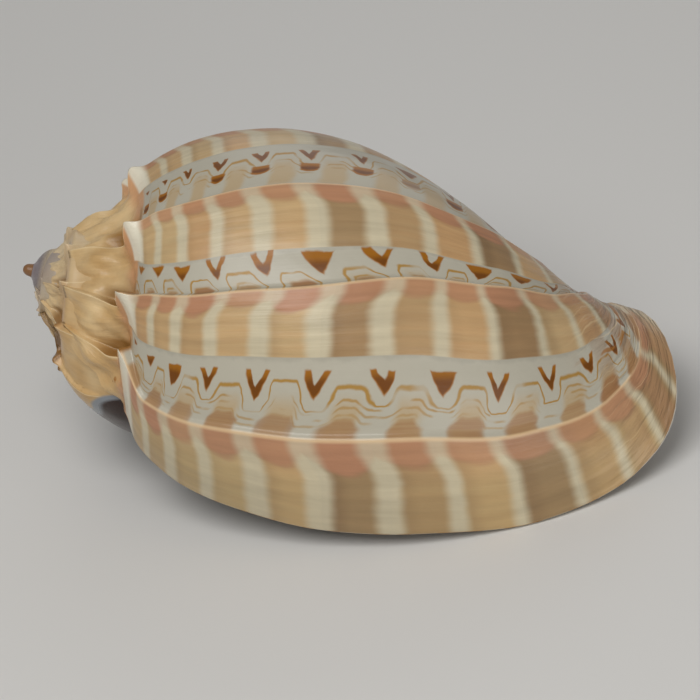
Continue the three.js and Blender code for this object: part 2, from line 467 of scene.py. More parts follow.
@dataclass(frozen=True)
class ShellForm:
    """The surface of the shell, outside and inside, as relief on the growing edge.

    A field that ends in rows or stages says where a form begins and ends: a soft step if it has two
    numbers, a rise and a fall if it has four. A field that ends in fade says what share is taken off.
    Heights and lengths are at the lip's size.
    """

    edge: GrowingEdge = GrowingEdge()
    growth: Growth = Growth()
    shoulder: float = 4.0
    lead_rows: Bounds = (0.5, 3.5, 4, 5.6)
    bend_rows: Bounds = (8.5, 11.5, 12, 13)
    ramp_arch: float = 0.018
    arch_rows: Bounds = (0.8, 2.8, 3.3, 3.95)
    rib_rise: float = 1.15
    groove: float = 0.4
    suture_fade: float = 0.2
    front_fade: float = 0.5
    front_rows: Bounds = (10.5, 12.5)
    canal_fade: float = 0.9
    canal_rows: Bounds = (11.6, 12.8)
    canal_stages: Bounds = (-0.6, -0.4)
    callus_stages: Bounds = (-0.68, -0.62)
    corner_height: float = 3.4
    corner_stages: Bounds = (-1.13, -1.08, -0.96, -0.9)
    hollow: float = 1.3
    hollow_rows: Bounds = (1.0, 2.5, 3.5, 4.05)
    ramp_end_rows: Bounds = (2.8, 3.9)
    billow: float = 0.34
    billow_waves: tuple = ((1.0, 19.5, 0.3), (0.45, 33.0, -0.45))
    lobe: float = 0.7
    lobe_rows: Bounds = (0.9, 2.4)
    spine_length: float = 2.15
    spine_reach: float = 0.62
    spine_lean: tuple = (-0.72, 0.69)
    neck_fade: float = 0.42
    neck_rows: Bounds = (10.6, 13.1)
    neck_stages: Bounds = (-0.87, -0.52)
    waist_fade: float = 0.34
    waist_rows: Bounds = (4.6, 7.2, 9.6, 11.5)
    waist_stages: Bounds = (-2.3, -1.8, -1.04, -0.96)
    waist_ease: Bounds = (-1.9, -0.7)
    wall: float = 1.35
    suture_wall: float = 1.1
    suture_wall_rows: Bounds = (0.8, 2.6)
    billow_wall: float = 2.2
    core: float = 0.4
    core_rows: Bounds = (10, 11.8)
    core_stages: Bounds = (-0.62, -0.44)

    def shift(self, columns: Columns, row: np.ndarray) -> np.ndarray:
        """How far the ribs' lines run ahead of the growing edge.

        Args:
            columns: Columns of the surface.
            row: Rows of the surface.

        Returns:
            Turns, for every column and row.
        """
        lead = columns.lead[:, None] * hump(row, self.lead_rows)
        arch = columns.pull[:, None] * self.ramp_arch * hump(row, self.arch_rows)
        return lead + arch + columns.bend[:, None] * hump(row, self.bend_rows)

    def strength(self, stage: np.ndarray, row: np.ndarray) -> np.ndarray:
        """How strongly the ribs stand out: less at the suture, at the front end and along the pillar.

        Args:
            stage: Growth stages.
            row: Rows of the surface.

        Returns:
            Factors from 0 to 1.
        """
        across = 1 - self.suture_fade * (1 - smooth(row, 0, self.shoulder))
        front = 1 - self.front_fade * smooth(row, *self.front_rows)
        canal = smooth(row, *self.canal_rows) * (1 - smooth(stage, *self.canal_stages))
        return across * front * (1 - self.canal_fade * canal)

    def bareness(self, stage: np.ndarray, row: np.ndarray) -> np.ndarray:
        """One on the bare shell and zero under the callus of the inner lip and under the next turn.

        Args:
            stage: Growth stages.
            row: Rows of the surface.

        Returns:
            Factors from 0 to 1.
        """
        start = self.shoulder + self.corner_height * hump(stage, self.corner_stages)
        return 1 - (1 - smooth(stage, *self.callus_stages)) * smooth(row, start, start + 1)

    def taper(self, stage: np.ndarray, row: np.ndarray) -> np.ndarray:
        """Share of the radius that is left where older turns are slimmer under the next one."""
        covered = hump(stage, self.waist_stages) * (1 - smooth(stage, *self.waist_ease))
        return 1 - self.waist_fade * hump(row, self.waist_rows) * covered

    def waves(self, stage: np.ndarray, row: np.ndarray) -> np.ndarray:
        """Soft waves of the ramp; each has a height, a count per turn and a lean."""
        turned = ((size, stage * count + lean * row) for size, count, lean in self.billow_waves)
        return sum(size * np.sin(2 * np.pi * turns) for size, turns in turned)

    def outer(self, columns: Columns, row: np.ndarray) -> np.ndarray:
        """Points of the outside.

        Args:
            columns: Columns of the surface.
            row: Rows of the surface.

        Returns:
            Points of the coil's frame, for every column and row.
        """
        point, outward, lag = self.edge.at(row, columns.stage[:, None])
        stage = columns.stage[:, None] + lag + self.shift(columns, row)
        rise = columns.rise[:, None] * self.rib_rise * self.strength(stage, row) * self.bareness(stage, row)
        rise = rise - self.groove - columns.hollow[:, None] * self.hollow * hump(row, self.hollow_rows)
        on_ramp = 1 - smooth(row, *self.ramp_end_rows)
        rise = rise + self.billow * self.waves(stage, row) * on_ramp * smooth(row, 0, 1)
        near = np.exp(-(((row - self.shoulder) / self.spine_reach) ** 2))
        spine = columns.spine[:, None] * self.spine_length * near
        along = point[..., 0] + outward[..., 0] * rise + self.spine_lean[0] * spine
        along = along - self.lobe * columns.rise[:, None] * (1 - smooth(row, *self.lobe_rows))
        radius = point[..., 1] + outward[..., 1] * rise + self.spine_lean[1] * spine
        neck = smooth(row, *self.neck_rows) * (1 - smooth(stage, *self.neck_stages))
        slim = (1 - self.neck_fade * neck) * self.taper(stage, row)
        return self.growth.place(along, radius * slim, stage)

    def inner(self, columns: Columns, row: np.ndarray) -> np.ndarray:
        """Points of the inside, which closes round the axis where the pillar stands.

        Args:
            columns: Columns of the surface.
            row: Rows of the surface.

        Returns:
            Points of the coil's frame, for every column and row.
        """
        edge_row = np.maximum(row, self.suture_wall_rows[0])
        point, outward, lag = self.edge.at(edge_row, columns.stage[:, None])
        stage = columns.stage[:, None] + lag + self.shift(columns, row)
        wall = self.wall + self.groove + self.suture_wall * (1 - smooth(row, *self.suture_wall_rows))
        wall = wall + self.billow * self.billow_wall * (1 - smooth(row, *self.ramp_end_rows))
        wall = wall + columns.hollow[:, None] * self.hollow * hump(row, self.hollow_rows)
        core = self.core / self.growth.scale(stage, self.growth.girth)
        closed = smooth(row, *self.core_rows) * (1 - smooth(stage, *self.core_stages))
        along = point[..., 0] - outward[..., 0] * wall
        radius = (point[..., 1] - outward[..., 1] * wall) * (1 - closed) + core * closed
        return self.growth.place(along, radius * self.taper(stage, row), stage)


@dataclass(frozen=True)
class StripeRows:
    """Where the white stripes cross the ribs, so that whole numbers of the cell count lie on stripes."""

    rows: tuple = (4.6, 5.7, 6.6, 7.45, 8.27, 9.04, 9.74, 10.33, 10.85, 11.4, 11.9, 12.4, 12.9, 13.4, 14.0)
    ramp_spacing: float = 1.1
    turned_rows: Bounds = (9.8, 11.2)

    def count(self, row: np.ndarray) -> np.ndarray:
        """Count of white stripes up to each row."""
        on_ribs = np.interp(row, self.rows, np.arange(len(self.rows)))
        return np.where(row < self.rows[0], (row - self.rows[0]) / self.ramp_spacing, on_ribs)

    def lean(self, slant: np.ndarray, row: np.ndarray) -> np.ndarray:
        """How far the stripes lean; towards the front all ribs' stripes lean the same way."""
        turned = smooth(row, *self.turned_rows)
        return slant * (1 - turned) + np.minimum(slant, -slant) * turned


@dataclass(frozen=True)
class CallusReach:
    """Where the glaze of the inner lip lies on the body whorl."""

    edge_row: float = 7.9
    climb: float = 3.0
    climb_stages: Bounds = (-0.96, -0.8)
    lean: float = 0.024
    lean_row: float = 7.6
    start_stages: Bounds = (-0.995, -0.965)
    end_stages: Bounds = (-0.72, -0.6)
    thin_rows: Bounds = (-0.6, 0.9)
    pillar_rows: Bounds = (12.2, 13.0)

    def thickness(self, stage: np.ndarray, row: np.ndarray) -> np.ndarray:
        """How thick the glaze is; its edge climbs towards the mouth's corner.

        Args:
            stage: Growth stages.
            row: Rows of the surface.

        Returns:
            Numbers from 0 to 1.
        """
        edge = self.edge_row - self.climb * smooth(stage, *self.climb_stages)
        start = smooth(stage + self.lean * (row - self.lean_row), *self.start_stages)
        ends = start * (1 - smooth(stage, *self.end_stages))
        thick = smooth(row, edge + self.thin_rows[0], edge + self.thin_rows[1])
        return ends * thick * (1 - smooth(row, *self.pillar_rows))


# Node graphs


class Value:
    """One number of a node graph; combining values adds nodes to the graph."""

    def __init__(self, tree: bpy.types.NodeTree, source: "Socket | float") -> None:
        """Keeps the graph's tree and the socket or number that the value is."""
        self.tree = tree
        self.source = source

    def _math(self, operation: str, *others: "Value | float") -> "Value":
        """Adds a math node.

        Args:
            operation: Name of the node's operation.
            *others: What stands beside this value in the operation.

        Returns:
            The result.
        """
        node = self.tree.nodes.new("ShaderNodeMath")
        node.operation = operation
        for index, item in enumerate((self, *others)):
            plug(self.tree, item, node.inputs[index])
        return Value(self.tree, node.outputs[0])

    def __add__(self, other: "Value | float") -> "Value":
        """Sum."""
        return self._math("ADD", other)

    __radd__ = __add__

    def __sub__(self, other: "Value | float") -> "Value":
        """Difference."""
        return self._math("SUBTRACT", other)

    def __rsub__(self, other: float) -> "Value":
        """Difference from a number."""
        return Value(self.tree, other)._math("SUBTRACT", self)

    def __mul__(self, other: "Value | float") -> "Value":
        """Product."""
        return self._math("MULTIPLY", other)

    __rmul__ = __mul__

    def __truediv__(self, other: "Value | float") -> "Value":
        """Quotient."""
        return self._math("DIVIDE", other)

    def __abs__(self) -> "Value":
        """Size without the sign."""
        return self._math("ABSOLUTE")

    def power(self, exponent: float) -> "Value":
        """Self raised to a power."""
        return self._math("POWER", exponent)

    def floor(self) -> "Value":
        """Whole part, rounded down."""
        return self._math("FLOOR")

    def part(self) -> "Value":
        """What is over the whole part."""
        return self._math("FRACT")

    def most(self, other: "Value | float") -> "Value":
        """The larger of two values."""
        return self._math("MAXIMUM", other)

    def least(self, other: "Value | float") -> "Value":
        """The smaller of two values."""
        return self._math("MINIMUM", other)

    def ramp(self, low: "Value | float", high: "Value | float") -> "Value":
        """Soft step from 0 at low to 1 at high, which may lie the other way round.

        Args:
            low: Where the step starts.
            high: Where the step ends.

        Returns:
            A value from 0 to 1.
        """
        node = self.tree.nodes.new("ShaderNodeMapRange")
        node.interpolation_type = "SMOOTHSTEP"
        for item, socket in ((self, "Value"), (low, "From Min"), (high, "From Max")):
            plug(self.tree, item, node.inputs[socket])
        return Value(self.tree, node.outputs[0])

    def hump(self, bounds: Bounds) -> "Value":
        """Rises from 0 to 1 over the first two bounds and falls back over the last two."""
        return self.ramp(*bounds[:2]) * (1.0 - self.ramp(*bounds[2:]))


def plug(tree: bpy.types.NodeTree, item: "Value | Socket | Colour | float", socket: Socket) -> None:
    """Sets a socket from a value or socket of the graph, a colour or a number.

    Args:
        tree: The graph's tree.
        item: What goes in.
        socket: The socket that takes it.
    """
    source = item.source if isinstance(item, Value) else item
    if isinstance(source, Socket):
        tree.links.new(source, socket)
    elif isinstance(source, tuple):
        socket.default_value = (*source, 1.0)
    else:
        socket.default_value = source


@dataclass(frozen=True)
class Gloss:
    """How a finish shines."""

    coat: float
    coat_roughness: float
    specular: float = 0.5


@dataclass(frozen=True)
class Bump:
    """Relief too fine for the mesh: a height and its depth in metres."""

    height: Value
    depth: float


class Graph:
    """A material's nodes, with short names for what the finishes need."""

    def __init__(self, name: str) -> None:
        """Makes a plain material.

        Args:
            name: The material's name.
        """
        self.material = bpy.data.materials.new(name)
        self.material.use_nodes = True
        self.tree = self.material.node_tree
        self.shader = self.tree.nodes["Principled BSDF"]

    def attribute(self, name: str) -> Value:
        """A number stored on the mesh's points.

        Args:
            name: The number's name.

        Returns:
            The number.
        """
        node = self.tree.nodes.new("ShaderNodeAttribute")
        node.attribute_name = name
        return Value(self.tree, node.outputs["Fac"])

    def point(self, x: "Value | float", y: "Value | float", z: "Value | float") -> Socket:
        """Three values as one point.

        Args:
            x: First coordinate.
            y: Second coordinate.
            z: Third coordinate.

        Returns:
            The point.
        """
        node = self.tree.nodes.new("ShaderNodeCombineXYZ")
        for item, socket in zip((x, y, z), node.inputs):
            plug(self.tree, item, socket)
        return node.outputs[0]

    def place(self) -> Socket:
        """The place on the object, in metres."""
        return self.tree.nodes.new("ShaderNodeTexCoord").outputs["Object"]

    def noise(self, place: Socket, scale: float, detail: float = 2.0) -> Value:
        """Soft noise.

        Args:
            place: Where the noise is read.
            scale: How many waves there are in one unit of the place.
            detail: How many finer waves lie on them.

        Returns:
            A value of about -1 to 1.
        """
        node = self.tree.nodes.new("ShaderNodeTexNoise")
        for item, socket in ((place, "Vector"), (scale, "Scale"), (detail, "Detail")):
            plug(self.tree, item, node.inputs[socket])
        return (Value(self.tree, node.outputs["Fac"]) - 0.5) * 2.0

    def chance(self, x: "Value | float", y: "Value | float") -> Value:
        """A random number for each pair of whole numbers.

        Args:
            x: First whole number.
            y: Second whole number.

        Returns:
            A value from 0 to 1.
        """
        node = self.tree.nodes.new("ShaderNodeTexWhiteNoise")
        node.noise_dimensions = "2D"
        plug(self.tree, self.point(x, y, 0.0), node.inputs["Vector"])
        return Value(self.tree, node.outputs["Value"])

    def look_up(self, place: Value, tones: tuple) -> Value:
        """Tone of the cell that a place falls in.

        Args:
            place: Count of cells, from 0 on; the last tone holds past the end.
            tones: One tone for each cell.

        Returns:
            The tone.
        """
        node = self.tree.nodes.new("ShaderNodeValToRGB")
        node.color_ramp.interpolation = "CONSTANT"
        plug(self.tree, place / len(tones), node.inputs["Fac"])
        stops = node.color_ramp.elements
        for index, tone in enumerate(tones):
            stop = stops[index] if index < 2 else stops.new(index / len(tones))
            stop.position = index / len(tones)
            stop.color = (tone, tone, tone, 1.0)
        return Value(self.tree, node.outputs["Color"])

    def mix(self, under: "Socket | Colour", over: "Socket | Colour", share: Value) -> Socket:
        """A colour laid over another.

        Args:
            under: The lower colour.
            over: The upper colour.
            share: How much of the upper one shows, 0 to 1.

        Returns:
            The mixed colour.
        """
        node = self.tree.nodes.new("ShaderNodeMix")
        node.data_type = "RGBA"
        node.clamp_factor = True
        for item, socket in ((share, 0), (under, 6), (over, 7)):
            plug(self.tree, item, node.inputs[socket])
        return node.outputs[2]

    def shade(self, colour: Socket, gain: Value) -> Socket:
        """A colour made lighter or darker.

        Args:
            colour: The colour.
            gain: What it is multiplied by.

        Returns:
            The new colour.
        """
        node = self.tree.nodes.new("ShaderNodeVectorMath")
        node.operation = "SCALE"
        plug(self.tree, colour, node.inputs[0])
        plug(self.tree, gain, node.inputs["Scale"])
        return node.outputs[0]

    def finish(
        self, colour: Socket, roughness: "Value | float", gloss: Gloss, bumps: list[Bump]
    ) -> bpy.types.Material:
        """Connects everything to the shader.

        Args:
            colour: The surface's colour.
            roughness: Its roughness.
            gloss: How it shines.
            bumps: Its fine relief, one on top of another.

        Returns:
            The material.
        """
        shine = {
            "Base Color": colour,
            "Roughness": roughness,
            "Specular IOR Level": gloss.specular,
            "Coat Weight": gloss.coat,
            "Coat Roughness": gloss.coat_roughness,
        }
        for socket, item in shine.items():
            plug(self.tree, item, self.shader.inputs[socket])
        below = self.shader.inputs["Normal"]
        for bump in reversed(bumps):
            node = self.tree.nodes.new("ShaderNodeBump")
            plug(self.tree, bump.depth, node.inputs["Distance"])
            plug(self.tree, bump.height, node.inputs["Height"])
            plug(self.tree, node.outputs[0], below)
            below = node.inputs["Normal"]
        return self.material


# Finishes


@dataclass(frozen=True)
class Porcelain:
    """Smooth cream shell of the inside and the pillar: its gloss and its faint relief."""

    name: str
    roughness: float = 0.28
    gloss: Gloss = Gloss(coat=0.4, coat_roughness=0.12)
    relief: float = 0.00008
    relief_scale: float = 120.0

    def colour(self, g: Graph) -> Socket:
        """Colour of the surface, which each kind of porcelain gives itself."""
        raise NotImplementedError

    def material(self) -> bpy.types.Material:
        """Builds the material.

        Returns:
            The material.
        """
        g = Graph(self.name)
        bump = Bump(g.noise(g.place(), self.relief_scale), self.relief)
        return g.finish(self.colour(g), self.roughness, self.gloss, [bump])


@dataclass(frozen=True)
class PillarGlaze(Porcelain):
    """The columella: cream porcelain that turns chestnut towards the body whorl."""

    name: str = "pillar_glaze"
    relief_scale: float = 140.0
    porcelain: Colour = paint("ddc6a6")
    chestnut: Colour = paint("3a1b0c")
    turn_places: Bounds = (0.62, 0.74)
    border_cloud: float = 0.06

    def colour(self, g: Graph) -> Socket:
        """Chestnut at the back and cream at the front, with a cloudy border."""
        border = g.attribute("along") + self.border_cloud * g.noise(g.place(), 60.0, 3.0)
        return g.mix(self.porcelain, self.chestnut, 1.0 - border.ramp(*self.turn_places))


@dataclass(frozen=True)
class PolishedInside(Porcelain):
    """Inside of the wall and the lip's edge: cream porcelain, browner where the bands show through."""

    name: str = "polished_inside"
    porcelain: Colour = paint("e6dccb")
    band: Colour = paint("c99f76")
    tan: Colour = paint("bf9861")
    band_share: float = 0.45
    suture_rows: Bounds = (1.0, 1.6)
    shoulder_rows: Bounds = (3.4, 4.2)
    lip_stages: Bounds = (-0.25, -0.2)

    def colour(self, g: Graph) -> Socket:
        """Colour of the inside.

        Args:
            g: The material's graph.

        Returns:
            Cream with faint bands, and tan by the suture and at the lip's shoulder.
        """
        banded = g.point(g.attribute("cell") * 0.8, g.attribute("beat") * 0.35, 2.0)
        shown = g.noise(banded, 1.0).ramp(-0.1, 0.7)
        colour = g.mix(self.porcelain, self.band, shown * self.band_share)
        row = g.attribute("row")
        at_lip = (1.0 - row.ramp(*self.shoulder_rows)) * g.attribute("stage").ramp(*self.lip_stages)
        return g.mix(colour, self.tan, at_lip.most(1.0 - row.ramp(*self.suture_rows)))


class Draw(Enum):
    """Which random number of the pattern is drawn; each has its own seed."""

    OWN = 0.0
    GROUND = 2.0
    STRIPE = 3.0
    ARCH = 5.0
    SHADOW = 9.0
    KIND = 37.0
    HUE = 71.0


class Spot:
    """Where a point of the outside lies in the pattern, as values of a graph.

    A cell is counted in white stripes along a rib, with the exact count beside one whose borders
    wander. The face runs from 0 at the rib's crest over 1 at its foot to 2 at the next crest.
    """

    wander = 0.07
    wander_scale = 1.7
    foot = (0.985, 1.01)

    def __init__(self, g: Graph) -> None:
        """Reads the mesh's numbers and works out the cells.

        Args:
            g: The material's graph.
        """
        self.g = g
        self.stage, self.exact, self.beat = g.attribute("stage"), g.attribute("cell"), g.attribute("beat")
        self.since, self.room, self.row = g.attribute("since"), g.attribute("room"), g.attribute("row")
        self.glaze = g.attribute("glaze")
        self.face = (self.beat * 0.5).part() * 2.0
        self.rib = (self.beat * 0.5).floor()
        self.in_gap = self.face.ramp(*self.foot)
        self.here = g.point(self.exact, self.since, self.rib)
        wander = g.noise(g.point(self.exact, self.beat, 0.0), self.wander_scale)
        self.cell = self.exact + self.wander * wander
        self.number = (self.cell + 0.5).floor()
        self.band = self.cell.floor()

    def off(self, wander: "Value | float" = 0.0) -> Value:
        """Distance to the nearest white stripe, -0.5 to 0.5."""
        cell = self.cell + wander
        return cell - (cell + 0.5).floor()

    def draw(self, number: Value, which: Draw) -> Value:
        """A random number, 0 to 1, for a cell or a stripe of this rib."""
        return self.g.chance(number, self.rib + which.value)

    def grain(self, along: float, across: float, layer: float, detail: float = 2.0) -> Value:
        """Noise drawn out along or across the ribs."""
        return self.g.noise(self.g.point(self.exact * along, self.beat * across, layer), 1.0, detail)


@dataclass(frozen=True)
class RibBands:
    """Bands across a rib: white stripes, beige and grey-brown cells, pink-brown beside the crest and a
    painted highlight on it.
    """

    stripe: Colour = paint("cbc0a3")
    beige: Colour = paint("c49b6c")
    straw: Colour = paint("c8b083")
    olive: Colour = paint("b9a271")
    dusky: Colour = paint("8b6f4e")
    pink_brown: Colour = paint("b58161")
    # Painted highlight: cream for a thin bright line along each rib's crest.
    rim_highlight: Colour = paint("e6c69a")
    tones: tuple = (0.1, 0.15, 0.2, 0.05, 0.0, 0.8, 0.45, 0.05, 0.95, 0.1, 0.15, 0.8, 0.45, 0.3)
    stripe_half: float = 0.09
    stripe_spread: float = 0.08
    stripe_soft: tuple = (-0.06, 0.14)
    stripe_wander: float = 0.03
    front_rows: Bounds = (9.5, 11.5)
    front_thinning: float = 0.55
    tone_shares: tuple = (0.75, 0.1, 0.3)
    shadow_places: Bounds = (0.2, 0.5)
    straw_shares: tuple = (0.7, 0.3)
    newest_rib: Bounds = (-0.6, -0.4)
    olive_places: Bounds = (0.2, 0.5)
    olive_share: float = 0.5
    patch_reach: float = 0.11
    patch_bulge: tuple = (0.08, 0.12)
    patch_wander: tuple = (0.06, 0.03)
    patch_soft: float = 0.09
    patch_shares: tuple = (0.65, 0.3)
    patch_fade: float = 0.25
    patch_end_rows: Bounds = (10.4, 11.8)
    end_place: float = 0.04
    end_width: float = 0.06
    gain: float = 0.99
    gain_spread: float = 0.24
    end_shade: float = 0.08
    rim_highlight_width: float = 0.04
    rim_highlight_share: float = 0.65

    def colour(self, s: Spot) -> Socket:
        """Colour of a rib.

        Args:
            s: The spot.

        Returns:
            The colour.
        """
        g = s.g
        combed = s.grain(0.8, 9.0, 5.0)
        along = s.cell - s.band
        own = s.draw(s.band, Draw.OWN)
        width = self.stripe_half + self.stripe_spread * g.chance(s.number, Draw.STRIPE.value)
        width = width * (1.0 - self.front_thinning * s.row.ramp(*self.front_rows))
        inner, outer = (width + soft for soft in self.stripe_soft)
        white = 1.0 - abs(s.off(self.stripe_wander * combed)).ramp(inner, outer)
        by_place, by_draw, by_shadow = self.tone_shares
        tone = g.look_up(s.cell, self.tones) * by_place + own * by_draw
        shadow = (1.0 - along.ramp(*self.shadow_places)) * s.draw(s.band, Draw.SHADOW)
        tone = tone + shadow * by_shadow
        by_draw, by_combing = self.straw_shares
        ground = g.mix(self.beige, self.straw, s.draw(s.band, Draw.GROUND) * by_draw + by_combing * combed)
        newest = s.rib.ramp(*self.newest_rib)
        ground = g.mix(ground, self.olive, newest * s.face.ramp(*self.olive_places) * self.olive_share)
        colour = g.mix(ground, self.dusky, tone)

        grain = s.grain(0.45, 7.0, 4.0, 3.0)
        bulge = 1.0 - (2.0 * abs(along - 0.5)).power(2.0)
        reach = self.patch_reach + (self.patch_bulge[0] + self.patch_bulge[1] * own) * bulge
        reach = reach + self.patch_wander[0] * combed + self.patch_wander[1] * grain
        warm = 1.0 - s.face.ramp(reach, reach + self.patch_soft)
        warm = warm * (1.0 - self.patch_fade * s.row.ramp(*self.patch_end_rows))
        colour = g.mix(colour, self.pink_brown, warm * (self.patch_shares[0] + self.patch_shares[1] * own))
        colour = g.mix(colour, self.stripe, white * (0.9 - 0.25 * warm))
        ends = (1.0 - abs(s.face - (reach + self.end_place)).ramp(0.0, self.end_width)) * (1.0 - white)
        colour = g.shade(colour, self.gain + self.gain_spread * grain - self.end_shade * ends)
        # Painted highlight: a thin cream line laid along the rib's crest.
        return g.mix(colour, self.rim_highlight, (1.0 - s.face.ramp(0.0, self.rim_highlight_width)) * self.rim_highlight_share)


class GapSpot:
    """Where a point lies in a gap's pattern, whose marks wander more than the ribs' stripes."""

    sideways = 0.09
    sideways_scale = 2.6
    up_and_down = 0.045
    up_and_down_scale = 3.2

    def __init__(self, s: Spot) -> None:
        """Works out the nearest mark and its random numbers.

        Args:
            s: The spot.
        """
        self.g, self.spot = s.g, s
        wandering = s.cell + self.sideways * s.g.noise(s.here, self.sideways_scale)
        number, band = (wandering + 0.5).floor(), wandering.floor()
        self.away = abs(wandering - number)
        self.since = s.since + self.up_and_down * s.g.noise(s.here, self.up_and_down_scale, 3.0)
        self.size, self.kind = s.draw(number, Draw.OWN), s.draw(number, Draw.KIND)
        self.arch, self.hue = s.draw(band, Draw.ARCH), s.draw(band, Draw.HUE)


@dataclass(frozen=True)
class GapMarks:
    """Marks of the gaps: hanging chevrons, zigzag lines, arches and soft blocks by the crest."""

    ground: Colour = paint("b6b09f")
    tan: Colour = paint("b79b70")
    heart: Colour = paint("6b3a05")
    gold: Colour = paint("9c6212")
    line: Colour = paint("a8813f")
    block: Colour = paint("96683f")
    tan_depths: Bounds = (0.3, 0.7)
    tan_places: Bounds = (0.18, 0.36)
    tan_share: float = 0.7
    # Painted shadow: how much darker the gap is just under the older rib's foot, and over what width.
    foot_shadow: float = 0.12
    foot_shadow_width: float = 0.04
    rim_highlight_places: Bounds = (1.9995, 1.9999)
    valley_places: tuple = (0.06, 0.28)
    valley_spreads: tuple = (0.08, 0.12)
    hill_level: tuple = (0.22, 0.12)
    valley_level: tuple = (0.56, 0.16)
    zigzag_widths: tuple = (0.012, 0.025, 0.02)
    line_width: float = 0.017
    nested_lines: tuple = ((0.42, 0.8), (0.53, 0.65), (0.64, 0.5))
    block_lag: float = 0.32
    block_corner: tuple = (0.16, 0.14, 0.05)
    block_share: float = 0.9
    block_line: float = 0.5
    arm_reach: tuple = (0.25, 0.08)
    arm_bow: float = 1.2
    hang: tuple = (0.17, 0.24, 0.12)
    shoulder_rows: Bounds = (5.0, 7.0)
    filled_draws: Bounds = (0.62, 0.66)
    stroke_depth: float = 0.17
    filled_depth: float = 0.3
    low_tip: tuple = (0.84, 0.06)
    low_bow: float = 2.2
    low_top: Bounds = (0.56, 0.6)
    low_half: Bounds = (0.16, 0.22)
    low_draws: Bounds = (0.15, 0.2)
    wide_room: Bounds = (1.05, 1.2)

    def colour(self, s: Spot) -> Socket:
        """Colour of a gap.

        Args:
            s: The spot.

        Returns:
            The colour.
        """
        g, gap = s.g, GapSpot(s)
        tinted = gap.since.ramp(*self.tan_depths) * gap.away.ramp(*self.tan_places)
        colour = g.mix(self.ground, self.tan, tinted * self.tan_share)
        for layer in (self._lines, self._blocks, self._chevrons, self._low_marks):
            colour = layer(gap, colour)
        # Painted shadow: a thin darker line in the gap under the older rib's foot.
        under_foot = 1.0 - gap.since.ramp(0.0, self.foot_shadow_width)
        colour = g.shade(colour, 1.0 - self.foot_shadow * under_foot)
        # Painted highlight: the same cream line on the step just under each crest.
        return g.mix(colour, RibBands.rim_highlight, s.face.ramp(*self.rim_highlight_places) * RibBands.rim_highlight_share)

    def _stroke(
        self, g: Graph, colour: Socket, height: Value, thick: "Value | float", strength: Value
    ) -> Socket:
        """A thin brown line where a height is zero.

        Args:
            g: The material's graph.
            colour: The colour below.
            height: Distance from the line.
            thick: Width of the line.
            strength: How much of it shows.

        Returns:
            The colour with the line on it.
        """
        line = 1.0 - abs(height).ramp(thick * 0.4, thick * 2.0)
        return g.mix(colour, self.line, line * strength)

    def _lines(self, gap: GapSpot, colour: Socket) -> Socket:
        """A zigzag line below the chevrons and fainter broken lines nested under it.

        Args:
            gap: The spot and its place among the gap's marks.
            colour: The colour below.

        Returns:
            The colour with the lines on it.
        """
        g, s = gap.g, gap.spot
        narrow = self.valley_places[0] + self.valley_spreads[0] * gap.size
        wide = self.valley_places[1] + self.valley_spreads[1] * gap.kind
        valley = 1.0 - gap.away.ramp(narrow, wide)
        level = (1.0 - valley) * (self.hill_level[0] + self.hill_level[1] * gap.arch)
        level = level + valley * (self.valley_level[0] + self.valley_level[1] * gap.size)
        seen = 0.25 + 0.75 * g.noise(s.here, 1.9, 1.0).ramp(-0.35, 0.0)
        steep = valley * (1.0 - valley) * 4.0
        thin, on_slope, on_hill = self.zigzag_widths
        thick = thin + on_slope * steep + on_hill * (1.0 - valley) * gap.hue
        colour = self._stroke(g, colour, gap.since - level, thick, seen)
        inside = (gap.since - level).ramp(0.03, 0.07)
        drop = 1.0 - gap.away.ramp(0.12 + 0.06 * gap.size, 0.4)
        for step, strength in self.nested_lines:
            bow = 0.08 * gap.arch * (1.0 - drop) + (0.2 + 0.12 * gap.size) * drop
            broken = g.noise(g.point(s.exact, s.since, s.rib + 10.0 * step), 2.3, 1.0).ramp(-0.15, 0.15)
            strength = inside * strength * broken
            colour = self._stroke(g, colour, gap.since - (step + bow), self.line_width, strength)
        return colour

    def _blocks(self, gap: GapSpot, colour: Socket) -> Socket:
        """Soft brown blocks that rise from the next crest between the stripes.

        Args:
            gap: The spot and its place among the gap's marks.
            colour: The colour below.

        Returns:
            The colour with the blocks on it.
        """
        g, s = gap.g, gap.spot
        top = s.room - self.block_lag * s.room * s.room + 0.1 * gap.hue
        half, rounding, spread = self.block_corner
        corner = half + rounding * (1.0 - (gap.since - top).ramp(0.0, 0.2)) + spread * gap.arch
        block = (gap.since - top).ramp(-0.03, 0.06) * (gap.away - corner).ramp(-0.05, 0.07)
        block = block * (1.0 - s.room.ramp(*self.wide_room)) * (0.7 + 0.3 * gap.arch)
        shaded = g.mix(self.block, self.tan, gap.hue * 0.5 + 0.4 * s.grain(0.6, 30.0, 6.0))
        colour = g.mix(colour, shaded, block * self.block_share)
        edge = (1.0 - abs(gap.since - top - 0.01).ramp(0.0, 0.04)) * block
        return g.mix(colour, self.line, edge * self.block_line)

